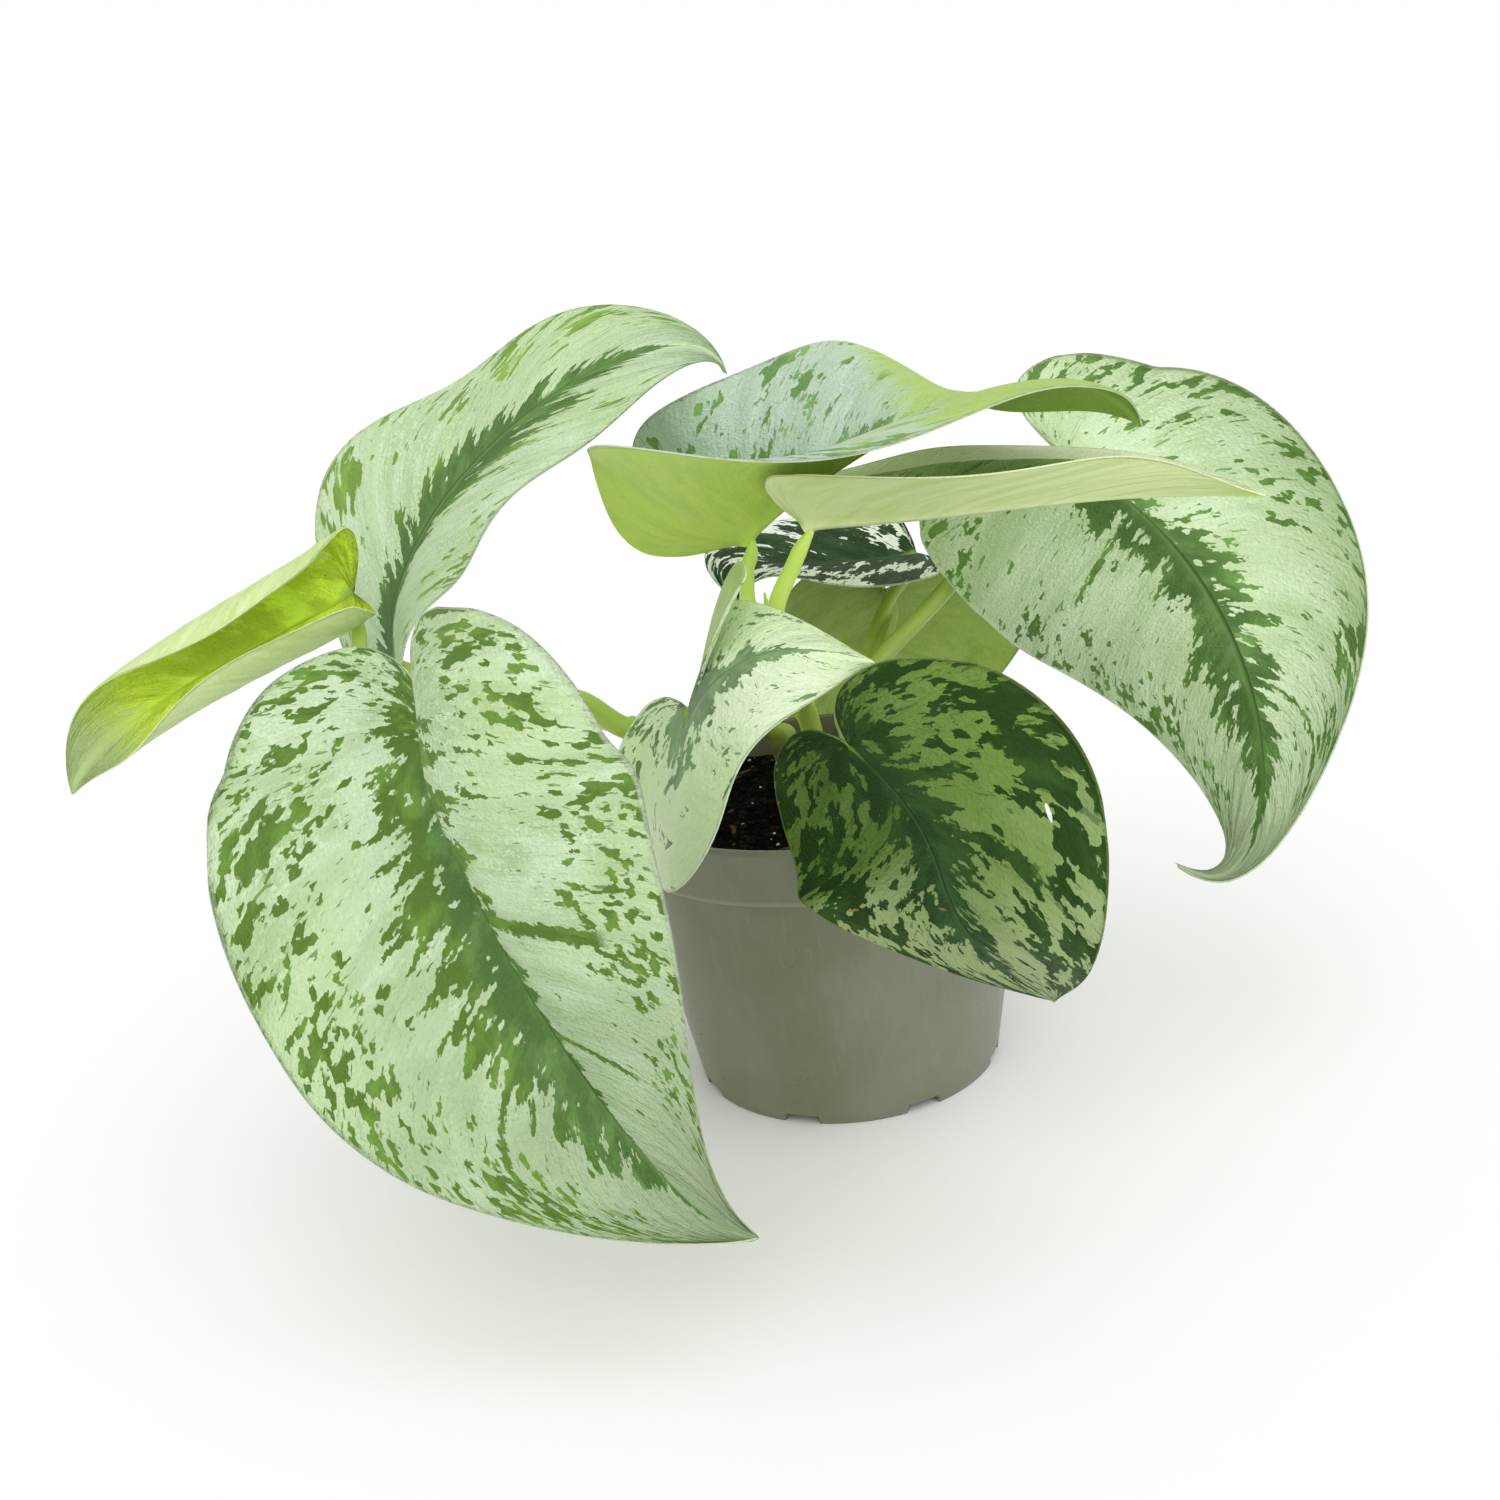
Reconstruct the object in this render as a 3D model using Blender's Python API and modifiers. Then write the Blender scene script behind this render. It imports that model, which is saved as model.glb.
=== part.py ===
"""A young satin pothos in its round nursery pot, modelled in metres with +Z up.

The origin is on the floor under the middle of the pot, and -Y is the plant's front. The leaves, the stems,
the soil and the pot are separate solids, 0.3 mm clear of each other where they meet.
"""

import math

import bmesh
import bpy
import numpy as np

MM = 0.001
CLEAR = 0.3  # gap between two pieces that touch in the real plant, mm

# Pot, mm
POT_HEIGHT = 80.0
RIM_RADIUS = 55.0
BAND_FOOT = 65.5  # height of the rim band's lower edge
WALL_TOP_RADIUS = 52.0
BASE_RADIUS = 40.9
WALL = 1.0
FLOOR_UNDER = 3.0  # the floor is held this high by the foot ring
FOOT_NOTCHES = 8
NOTCH_WIDTH = 9.0
NOTCH_HEIGHT = 2.5
DRAIN_HOLES = 8
DRAIN_RADIUS = 3.0
DRAIN_CIRCLE = 30.0
POT_STEPS = 56

# Soil, mm
SOIL_TOP = 71.0
MOUND_HEIGHT = 7.0
MOUND_CENTRE = (0.0, 15.0)
MOUND_RADIUS = 25.0
SOIL_RELIEF = 1.1
SOIL_STEPS = 40
SOIL_RINGS = 9

# Stems, mm
TRUNK_RADIUS = 3.2
TRUNK_FOOT = 49.7
HOLE_RADIUS = 3.5
PETIOLE_TIP = 1.3
TUBE_STEP = 5.0

# Leaves, mm
BLADE = 0.7
BLADE_ROWS = 20
BLADE_HALF_COLUMNS = 5
SPINE_SAMPLES = 60
CALM_PASSES = 40

# Half outline of a flat blade: along the midrib in blade lengths, and out from it in half widths.
OUTLINE = (
    (0, 0), (-0.06, 0.10), (-0.13, 0.27), (-0.165, 0.50), (-0.12, 0.77), (0.02, 0.96), (0.18, 1.0),
    (0.36, 0.93), (0.54, 0.76), (0.70, 0.53), (0.83, 0.31), (0.93, 0.12), (1.0, 0),
)

# Each leaf, in mm and degrees. The midrib is a Bezier curve from the petiole to the tip. Lobes stretches
# the lobes behind the petiole on the right and left side, and taper fills or thins the outline to the tip.
# Roll turns the blade about its midrib and twist adds to it up to the tip. Fold and curl bend the sides
# up, for right base, right tip, left base, left tip. Waves are right and left height, waves per length,
# and right and left start.
LEAVES = {
    "leaf_front_left": dict(
        midrib=((-82, -82, 123), (-88, -89, 103), (-46, -112, 18), (-27, -130, 31)), width=128,
        lobes=(1.2, 1.2), taper=-0.4, roll=-69, twist=60, fold=(-10, 66, 32, 20), curl=(120, -14, -112, -20),
        waves=(4, -3, 1.2, 0.4, 0.35), colour=(0.42, 0.52, 0.36)),
    "leaf_back_left": dict(
        midrib=((-100, -19, 126), (-105, 0, 167), (-20, -2, 211), (-12, 15, 183)), width=69,
        lobes=(0.6, 0.7), taper=0.1, roll=60, twist=-34, fold=(6, -2, 24, 26), curl=(-12, -32, 2, 16),
        waves=(-3, -7, 1.9, -0.09, 0.22), colour=(0.42, 0.53, 0.38)),
    "leaf_rolled_left": dict(
        midrib=((-107, -20, 146), (-110, -23, 143), (-174, -23, 125), (-177, -36, 109)), width=53,
        lobes=(0.6, 0.2), taper=0.4, roll=60, twist=-6, fold=(-2, -2, 6, 4), curl=(160, 226, 118, 126),
        waves=(0, 0, 1.5, 0.26, 0.26), colour=(0.47, 0.58, 0.25)),
    "leaf_centre_top": dict(
        midrib=((-12, -3, 144), (17, -48, 174), (69, -20, 188), (84, -16, 162)), width=84,
        lobes=(1.0, 1.1), taper=0.0, roll=-38, twist=36, fold=(60, -22, 60, -22), curl=(40, -114, 16, -32),
        waves=(7, -6, 1.5, 0.16, 0.03), colour=(0.36, 0.47, 0.38)),
    "leaf_half_rolled": dict(
        midrib=((2, -22, 149), (38, -41, 149), (71, -21, 150), (113, -18, 142)), width=53,
        lobes=(0.2, 0.1), taper=0.5, roll=5, twist=-8, fold=(38, 24, 36, 40), curl=(-22, 16, -20, -18),
        waves=(2, -1, 1.4, 0.28, 0.38), colour=(0.50, 0.58, 0.36)),
    "leaf_right": dict(
        midrib=((76, 7, 149), (131, 2, 103), (107, -49, 35), (85, -26, 54)), width=102,
        lobes=(1.4, 1.2), taper=-0.5, roll=-51, twist=-73, fold=(-25, -17, -67, 43), curl=(-40, -13, 129, 84),
        waves=(3, 3, 1.5, 0.12, 0.24), colour=(0.42, 0.53, 0.40)),
    "leaf_twisted": dict(
        midrib=((-30, -55, 117), (-32, -62, 105), (-27, -72, 144), (11, -68, 126)), width=75,
        lobes=(2.3, 0.1), taper=-0.1, roll=-66, twist=8, fold=(12, -10, 4, -12), curl=(-8, -28, -12, -2),
        waves=(-7, 0, 1.0, 0.12, 0.26), colour=(0.38, 0.48, 0.42)),
    "leaf_front_dark": dict(
        midrib=((3, -87, 114), (29, -95, 86), (5, -106, 87), (41, -88, 52)), width=91,
        lobes=(0.8, 0.8), taper=0.3, roll=-101, twist=-14, fold=(-46, 2, 46, 6), curl=(52, 24, -58, -36),
        waves=(-3, 5, 1.1, 0.35, 0.43), colour=(0.12, 0.21, 0.09)),
    "leaf_back_dark": dict(
        midrib=((36, 50, 125), (0, 46, 123), (-20, 34, 138), (-16, 18, 124)), width=62,
        lobes=(0.1, 0.1), taper=0.0, roll=3, twist=4, fold=(22, 16, 8, 4), curl=(-12, -12, -10, -16),
        waves=(0, 0, 1.5, 0.25, 0.26), colour=(0.16, 0.25, 0.13)),
    "leaf_back_hanging": dict(
        midrib=((27, 54, 115), (27, 69, 97), (30, 80, 73), (29, 85, 47)), width=90,
        lobes=(0.3, 1.3), taper=0.0, roll=4, twist=0, fold=(8, 6, 8, 8), curl=(-30, -24, -66, -60),
        waves=(-1, 0, 1.5, 0.26, 0.25), colour=(0.40, 0.50, 0.33)),
}

# Each stem: its foot in the soil, then its runs. A run is points of x, y, z and radius in mm, and a run
# that names a leaf ends under the base of that leaf's blade.
STEMS = {
    "stem_left": dict(
        foot=(-8, 16),
        knots=((-8, 16, 86, 3.7), (-46, -14, 102, 3.3), (-72, -38, 118, 3.3)),
        runs=(
            (None, ((-8, 16, 80, 3.0), (-12, 11, 91, 2.9), (-27, -1, 97, 2.8), (-46, -14, 102, 2.8),
                    (-58, -24, 114, 2.8), (-72, -38, 118, 2.7))),
            ("leaf_rolled_left", ((-72, -38, 118, 2.5), (-86, -48, 110, 2.3), (-98, -46, 115, 2.2),
                                  (-105, -34, 128, 2.0))),
            ("leaf_back_left", ((-46, -14, 102, 2.2), (-60, -8, 106, 2.0), (-80, -8, 114, 2.0),
                                (-91, -12, 119, 1.9))),
            ("leaf_front_left", ((-72, -38, 118, 2.4), (-74, -55, 125, 2.2), (-78, -74, 128, 2.0))),
        )),
    "stem_centre": dict(
        foot=(0, 4),
        knots=((0, 4, 86, 3.7), (-3, -8, 104, 3.0)),
        runs=(
            (None, ((0, 4, 80, 3.0), (-1, 2, 92, 2.8), (-3, -8, 104, 2.6))),
            ("leaf_centre_top", ((-1, 2, 92, 2.3), (-6, 0, 105, 2.1), (-13, -5, 125, 2.0),
                                 (-13, -4, 136, 1.9))),
            ("leaf_half_rolled", ((-3, -8, 104, 2.4), (-8, -20, 122, 2.3), (-7, -22, 131, 2.2),
                                  (-2, -22, 140, 2.0))),
            ("leaf_twisted", ((-3, -8, 104, 2.4), (-8, -16, 103, 2.1), (-20, -38, 113, 2.0),
                              (-25, -50, 117, 1.9))),
            (None, ((-8, -18, 118, 1.5), (-9, -14, 124, 1.3), (-9.5, -15, 133, 0.4))),
        )),
    "stem_right": dict(
        foot=(12, 14),
        knots=((12, 14, 86, 3.7), (15, 12, 96, 3.3)),
        runs=(
            (None, ((12, 14, 80, 3.0), (12, 14, 90, 2.9), (15, 12, 96, 2.8))),
            ("leaf_front_dark", ((15, 12, 96, 2.3), (8, -2, 97, 2.2), (6, -20, 100, 2.1),
                                 (5, -45, 105, 2.0), (4, -72, 110, 1.9))),
            ("leaf_right", ((15, 12, 96, 2.6), (20, 17, 104, 2.5), (39, 23, 119, 2.4), (56, 25, 136, 2.3),
                            (70, 20, 147, 2.0))),
            ("leaf_back_dark", ((15, 12, 96, 2.2), (17, 25, 103, 2.0), (26, 42, 114, 1.9))),
            ("leaf_back_hanging", ((15, 12, 96, 2.2), (20, 22, 104, 2.0), (25, 36, 109, 1.9),
                                   (27, 44, 110, 1.8))),
        )),
}

COLOURS = {
    "pot": (0.50, 0.56, 0.46),
    "soil": (0.035, 0.028, 0.022),
    "stem_left": (0.36, 0.50, 0.14),
    "stem_centre": (0.36, 0.50, 0.14),
    "stem_right": (0.36, 0.50, 0.14),
}


def unit(vectors):
    return vectors / np.linalg.norm(vectors, axis=-1, keepdims=True)


def half_outline(rows, lobe, taper):
    """The half outline as a smooth curve, cut into even rows, with its lobe and tip shaped."""
    points = np.array(OUTLINE, float)
    points[:, 0] = np.where(points[:, 0] < 0, points[:, 0] * lobe, points[:, 0])
    outer = (points[:, 0] > 0.2) & (points[:, 0] < 0.99)
    points[outer, 1] *= 1 + taper * (points[outer, 0] - 0.2)
    curve = through(points, 12)
    step = np.hypot(*(np.diff(curve, axis=0) * (1, 0.42)).T)
    along = np.concatenate([[0], np.cumsum(step)]) / step.sum()
    even = np.linspace(0, 1, rows)
    return np.stack([np.interp(even, along, curve[:, axis]) for axis in (0, 1)], 1)


def through(points, cuts):
    """A Catmull-Rom curve through the points, with this many cuts for each span."""
    points = np.asarray(points, float)
    padded = np.vstack([2 * points[0] - points[1], points, 2 * points[-1] - points[-2]])
    t = np.linspace(0, 1, cuts, endpoint=False)[:, None]
    spans = []
    for a, b, c, d in zip(padded, padded[1:], padded[2:], padded[3:]):
        cubic = (3 * b - a - 3 * c + d) * t**3
        spans.append(0.5 * (2 * b + (c - a) * t + (2 * a - 5 * b + 4 * c - d) * t**2 + cubic))
    return np.vstack(spans + [points[-1:]])


def spine_of(leaf):
    """Along the midrib: distances, points, forward directions, right-hand directions and normals."""
    a, b, c, d = np.array(leaf["midrib"], float)
    u = np.linspace(0, 1, 4 * SPINE_SAMPLES)[:, None]
    curve = (1 - u)**3 * a + 3 * u * (1 - u)**2 * b + 3 * u**2 * (1 - u) * c + u**3 * d
    run = np.concatenate([[0], np.cumsum(np.linalg.norm(np.diff(curve, axis=0), axis=1))])
    reach = np.linspace(0, run[-1], SPINE_SAMPLES)
    points = np.stack([np.interp(reach, run, curve[:, axis]) for axis in range(3)], 1)
    forward = unit(np.gradient(points, axis=0))
    for _ in range(CALM_PASSES):
        padded = np.vstack([forward[:1], forward, forward[-1:]])
        forward = unit(padded[:-2] + 2 * padded[1:-1] + padded[2:])
    side = unit(np.cross(forward[0], (0, 0, 1)))
    sides = []
    for direction in forward:
        side = unit(side - direction * side.dot(direction))
        sides.append(side)
    sides = np.array(sides)
    normals = np.cross(sides, forward)
    turn = np.radians(leaf["roll"] + leaf["twist"] * reach / reach[-1])[:, None]
    rolled = sides * np.cos(turn) + normals * np.sin(turn)
    return reach, points, forward, rolled, normals * np.cos(turn) - sides * np.sin(turn)


def blade_points(leaf, x, y):
    """Where the flat blade's points go: x along the midrib and y out to the right, both in mm."""
    reach, points, forward, sides, normals = spine_of(leaf)
    near = np.clip(x, 0, reach[-1])
    place, ahead, across, up = (
        np.stack([np.interp(near, reach, part[:, axis]) for axis in range(3)], -1)
        for part in (points, forward, sides, normals)
    )
    half = leaf["width"] / 2
    right = y >= 0
    share = near / reach[-1]
    fold, curl = (
        np.radians(np.where(right, v[0] + (v[1] - v[0]) * share, v[2] + (v[3] - v[2]) * share))
        for v in (leaf["fold"], leaf["curl"])
    )
    curl = curl / half
    curl = np.where(np.abs(curl) < 1e-6, 1e-6, curl)
    out = np.abs(y)
    sideways = (np.sin(fold + curl * out) - np.sin(fold)) / curl * np.where(right, 1, -1)
    rise = (np.cos(fold) - np.cos(fold + curl * out)) / curl
    right_height, left_height, count, right_start, left_start = leaf["waves"]
    height = np.where(right, right_height, left_height)
    start = np.where(right, right_start, left_start)
    rise = rise + height * (out / half)**2 * np.sin(2 * math.pi * (count * x / reach[-1] + start))
    lobe = unit(ahead) * np.minimum(x, 0)[..., None]
    return place + unit(across) * sideways[..., None] + up * rise[..., None] + lobe


def blade_seat(leaf):
    """The base of the blade and the direction out of its upper face there, between the two sides."""
    _, points, forward, sides, normals = spine_of(leaf)
    right, left = np.radians(leaf["fold"][0]), np.radians(leaf["fold"][2])
    right_way = sides[0] * math.cos(right) + normals[0] * math.sin(right)
    left_way = normals[0] * math.sin(left) - sides[0] * math.cos(left)
    return points[0], unit(np.cross(unit(right_way - left_way), forward[0]))


def clear_scene():
    for obj in list(bpy.data.objects):
        bpy.data.objects.remove(obj, do_unlink=True)


def collection(name, hidden=False):
    made = bpy.data.collections.new(name)
    made.hide_render = hidden
    bpy.context.scene.collection.children.link(made)
    return made


def put(name, mesh, group):
    obj = bpy.data.objects.new(name, mesh)
    group.objects.link(obj)
    if group.hide_render:
        obj.hide_render = True
        obj.display_type = "WIRE"
    return obj


def paint(obj, colour, roughness):
    material = bpy.data.materials.new(obj.name)
    material.use_nodes = True
    shader = material.node_tree.nodes["Principled BSDF"]
    shader.inputs["Base Color"].default_value = (*colour, 1)
    shader.inputs["Roughness"].default_value = roughness
    shader.inputs["Metallic"].default_value = 0
    obj.data.materials.clear()
    obj.data.materials.append(material)
    obj.data.shade_smooth()
    obj.data.set_sharp_from_angle(angle=math.radians(35))


def apply_modifiers(obj):
    graph = bpy.context.evaluated_depsgraph_get()
    mesh = bpy.data.meshes.new_from_object(obj.evaluated_get(graph))
    obj.modifiers.clear()
    obj.data = mesh


def turned(name, profile, steps, group):
    """A profile of radius and height in mm, turned a full circle about Z."""
    mesh = bpy.data.meshes.new(name)
    points = [(radius * MM, 0, height * MM) for radius, height in profile]
    mesh.from_pydata(points, [(i, i + 1) for i in range(len(points) - 1)], [])
    obj = put(name, mesh, group)
    screw = obj.modifiers.new("turn", "SCREW")
    screw.steps = screw.render_steps = steps
    screw.use_merge_vertices = True
    screw.merge_threshold = 0.00001
    apply_modifiers(obj)
    return obj


def cut(obj, cutters):
    boolean = obj.modifiers.new("cut", "BOOLEAN")
    boolean.operation = "DIFFERENCE"
    boolean.solver = "EXACT"
    boolean.operand_type = "COLLECTION"
    boolean.collection = cutters
    apply_modifiers(obj)


def block(name, size, centre, turn, group):
    mesh = bpy.data.meshes.new(name)
    shape = bmesh.new()
    bmesh.ops.create_cube(shape, size=1)
    for vert in shape.verts:
        x, y, z = (vert.co[axis] * size[axis] for axis in range(3))
        x += centre[0]
        y += centre[1]
        vert.co = (
            (x * math.cos(turn) - y * math.sin(turn)) * MM,
            (x * math.sin(turn) + y * math.cos(turn)) * MM,
            (z + centre[2]) * MM,
        )
    shape.to_mesh(mesh)
    shape.free()
    return put(name, mesh, group)


def post(name, radius, low, high, x, y, group):
    mesh = bpy.data.meshes.new(name)
    shape = bmesh.new()
    bmesh.ops.create_cone(
        shape, cap_ends=True, segments=20, radius1=radius * MM, radius2=radius * MM, depth=(high - low) * MM)
    bmesh.ops.translate(shape, verts=shape.verts, vec=(x * MM, y * MM, (low + high) / 2 * MM))
    shape.to_mesh(mesh)
    shape.free()
    return put(name, mesh, group)


def build_pot(group):
    """A thin wall widening to a taller rim band, on a foot ring with notches, with holes in its floor."""
    inner_top = RIM_RADIUS - 1.8
    profile = (
        (0, FLOOR_UNDER + WALL), (BASE_RADIUS - 1.0, FLOOR_UNDER + WALL),
        (WALL_TOP_RADIUS - WALL, BAND_FOOT - 0.9), (inner_top - 0.2, BAND_FOOT + 0.9),
        (inner_top, POT_HEIGHT), (RIM_RADIUS - 0.8, POT_HEIGHT), (RIM_RADIUS, POT_HEIGHT - 0.8),
        (RIM_RADIUS - 1.0, BAND_FOOT + 0.4), (RIM_RADIUS - 1.4, BAND_FOOT),
        (WALL_TOP_RADIUS, BAND_FOOT - 0.5), (BASE_RADIUS, 0.8), (BASE_RADIUS - 0.4, 0),
        (BASE_RADIUS - 1.4, 0), (BASE_RADIUS - 1.2, FLOOR_UNDER), (0, FLOOR_UNDER),
    )
    pot = turned("pot", profile, POT_STEPS, group)
    cutters = collection("pot_cutters", hidden=True)
    for i in range(FOOT_NOTCHES):
        turn = 2 * math.pi * (i + 0.5) / FOOT_NOTCHES
        block(f"notch_{i}", (6, NOTCH_WIDTH, 2 * NOTCH_HEIGHT), (BASE_RADIUS - 0.5, 0, 0), turn, cutters)
    for i in range(DRAIN_HOLES):
        turn = 2 * math.pi * i / DRAIN_HOLES
        x, y = DRAIN_CIRCLE * math.cos(turn), DRAIN_CIRCLE * math.sin(turn)
        post(f"drain_{i}", DRAIN_RADIUS, FLOOR_UNDER - 1, FLOOR_UNDER + WALL + 1, x, y, cutters)
    cut(pot, cutters)
    paint(pot, COLOURS["pot"], 0.45)


def soil_height(x, y):
    """Height of the soil in mm: a low mound where the stems stand, and small lumps."""
    away = np.hypot(x - MOUND_CENTRE[0], y - MOUND_CENTRE[1]) / MOUND_RADIUS
    lumps = np.sin(x / 4.1 + 1.3 * np.sin(y / 6.3)) * np.cos(y / 3.7 + 0.8 * np.sin(x / 5.2))
    return SOIL_TOP + MOUND_HEIGHT * np.exp(-away**2) + SOIL_RELIEF * lumps


def build_soil(group):
    """A plug of soil that fills the pot with 0.3 mm around it, with a plain hole for each stem."""
    side = SOIL_TOP - 0.5
    low, edge = BASE_RADIUS - 1.5, RIM_RADIUS - 2.4
    profile = [(edge * i / SOIL_RINGS, SOIL_TOP) for i in range(SOIL_RINGS + 1)]
    profile += [
        (edge, side - 2), (edge - 0.15, BAND_FOOT + 1.3), (WALL_TOP_RADIUS - WALL - 0.5, BAND_FOOT - 0.7),
        (low, FLOOR_UNDER + WALL + CLEAR), (0, FLOOR_UNDER + WALL + CLEAR),
    ]
    soil = turned("soil", profile, SOIL_STEPS, group)
    for vert in soil.data.vertices:
        if vert.co.z > side * MM:
            vert.co.z = soil_height(vert.co.x / MM, vert.co.y / MM) * MM
    cutters = collection("soil_cutters", hidden=True)
    for name, stem in STEMS.items():
        post(f"hole_{name}", HOLE_RADIUS, TRUNK_FOOT - CLEAR, SOIL_TOP + 30, *stem["foot"], cutters)
    cut(soil, cutters)
    paint(soil, COLOURS["soil"], 0.95)


def tube(name, route, group):
    """A round rod through points of x, y, z and radius in mm, closed at both ends."""
    smooth = through(route, 8)
    run = np.concatenate([[0], np.cumsum(np.linalg.norm(np.diff(smooth[:, :3], axis=0), axis=1))])
    count = max(3, int(run[-1] / TUBE_STEP) + 2)
    even = np.linspace(0, run[-1], count)
    path = np.stack([np.interp(even, run, smooth[:, axis]) for axis in range(4)], 1)
    path[-1] = route[-1]
    curve = bpy.data.curves.new(name, "CURVE")
    curve.dimensions = "3D"
    curve.bevel_depth = MM
    curve.bevel_resolution = 2
    curve.use_fill_caps = True
    spline = curve.splines.new("POLY")
    spline.points.add(count - 1)
    for point, (x, y, z, radius) in zip(spline.points, path):
        point.co = (x * MM, y * MM, z * MM, 1)
        point.radius = radius
    guide = put(name, curve, group)
    graph = bpy.context.evaluated_depsgraph_get()
    mesh = bpy.data.meshes.new_from_object(guide.evaluated_get(graph))
    bpy.data.objects.remove(guide)
    shape = bmesh.new()
    shape.from_mesh(mesh)
    bmesh.ops.remove_doubles(shape, verts=shape.verts, dist=0.000001)
    bmesh.ops.recalc_face_normals(shape, faces=shape.faces)
    shape.to_mesh(mesh)
    shape.free()
    return put(name, mesh, group)


def knot(name, place, group):
    """The swelling where petioles leave a stem."""
    x, y, z, radius = place
    mesh = bpy.data.meshes.new(name)
    shape = bmesh.new()
    bmesh.ops.create_icosphere(shape, subdivisions=2, radius=radius * MM)
    bmesh.ops.translate(shape, verts=shape.verts, vec=(x * MM, y * MM, z * MM))
    shape.to_mesh(mesh)
    shape.free()
    return put(name, mesh, group)


def petiole_end(leaf_name):
    """The last two points of a petiole: it meets the blade squarely and stops just under it."""
    leaf = LEAVES[leaf_name]
    base, up = blade_seat(leaf)
    droop = math.radians(max(0, -(leaf["fold"][0] + leaf["fold"][2]) / 2))
    under = base - up * 5
    top = base - up * (BLADE / 2 + CLEAR + 0.2 + PETIOLE_TIP * math.sin(droop)) / math.cos(droop)
    return (*under, 1.7), (*top, PETIOLE_TIP)


def build_stem(name, stem, group):
    """The trunk in its soil hole, the runs from it to its leaves, and the knots, joined into one solid."""
    parts = collection(f"{name}_parts", hidden=True)
    x, y = stem["foot"]
    rod = tube(name, ((x, y, TRUNK_FOOT, TRUNK_RADIUS), (x, y, 70, TRUNK_RADIUS), (x, y, 88, 3.0)), group)
    for i, (leaf_name, route) in enumerate(stem["runs"]):
        end = petiole_end(leaf_name) if leaf_name else ()
        tube(f"{name}_run_{i}", (*route, *end), parts)
    for i, place in enumerate(stem["knots"]):
        knot(f"{name}_knot_{i}", place, parts)
    union = rod.modifiers.new("join", "BOOLEAN")
    union.operation = "UNION"
    union.solver = "EXACT"
    union.operand_type = "COLLECTION"
    union.collection = parts
    apply_modifiers(rod)
    for part in list(parts.objects):
        bpy.data.objects.remove(part)
    bpy.data.collections.remove(parts)
    paint(rod, COLOURS[name], 0.4)


def build_leaf(name, leaf, group):
    """A flat grid laid out as the blade, bent to its place, split into triangles and made a thin solid."""
    columns = 2 * BLADE_HALF_COLUMNS
    shape = bmesh.new()
    bmesh.ops.create_grid(shape, x_segments=BLADE_ROWS - 1, y_segments=columns, size=1)
    flat = np.array([vert.co[:2] for vert in shape.verts])
    across = flat[:, 1]
    row = np.rint((flat[:, 0] + 1) / 2 * (BLADE_ROWS - 1)).astype(int)
    right, left = (half_outline(BLADE_ROWS, lobe, leaf["taper"]) for lobe in leaf["lobes"])
    edge = np.where(across[:, None] > 0, right[row], left[row])
    root = np.clip((row / (BLADE_ROWS - 1) - 0.30) / 0.70, 0, 1)**0.9
    length = spine_of(leaf)[0][-1]
    x = (root * (1 - np.abs(across)) + edge[:, 0] * np.abs(across)) * length
    y = edge[:, 1] * leaf["width"] / 2 * across
    for vert, place in zip(shape.verts, blade_points(leaf, x, y)):
        vert.co = place * MM
    bmesh.ops.remove_doubles(shape, verts=shape.verts, dist=0.00001)
    bmesh.ops.triangulate(shape, faces=shape.faces)
    bmesh.ops.recalc_face_normals(shape, faces=shape.faces)
    mesh = bpy.data.meshes.new(name)
    shape.to_mesh(mesh)
    shape.free()
    obj = put(name, mesh, group)
    solidify = obj.modifiers.new("blade", "SOLIDIFY")
    solidify.thickness = BLADE * MM
    solidify.offset = 0
    apply_modifiers(obj)
    paint(obj, leaf["colour"], 0.5)


def main():
    clear_scene()
    plant = collection("satin_pothos")
    build_pot(plant)
    build_soil(plant)
    for name, stem in STEMS.items():
        build_stem(name, stem, plant)
    for name, leaf in LEAVES.items():
        build_leaf(name, leaf, plant)


main()
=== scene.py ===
import math

import bmesh
import bpy
import numpy as np
from mathutils import Matrix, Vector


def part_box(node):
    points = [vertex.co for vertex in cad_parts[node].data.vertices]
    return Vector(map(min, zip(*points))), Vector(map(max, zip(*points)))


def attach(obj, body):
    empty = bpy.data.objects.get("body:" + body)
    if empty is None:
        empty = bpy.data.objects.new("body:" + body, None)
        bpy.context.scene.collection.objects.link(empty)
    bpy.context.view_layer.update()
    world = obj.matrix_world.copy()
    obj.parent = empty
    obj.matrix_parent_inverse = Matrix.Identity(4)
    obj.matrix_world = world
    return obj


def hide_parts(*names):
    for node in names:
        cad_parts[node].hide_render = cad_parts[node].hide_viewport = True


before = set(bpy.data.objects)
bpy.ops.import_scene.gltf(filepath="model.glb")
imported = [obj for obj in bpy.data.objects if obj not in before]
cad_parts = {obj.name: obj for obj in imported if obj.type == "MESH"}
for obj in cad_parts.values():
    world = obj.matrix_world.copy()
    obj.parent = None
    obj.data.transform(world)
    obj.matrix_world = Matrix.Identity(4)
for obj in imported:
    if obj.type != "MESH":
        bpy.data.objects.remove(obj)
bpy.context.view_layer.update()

mm = 0.001  # shapes are worked out in millimetres


# Shader maths written as expressions

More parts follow.
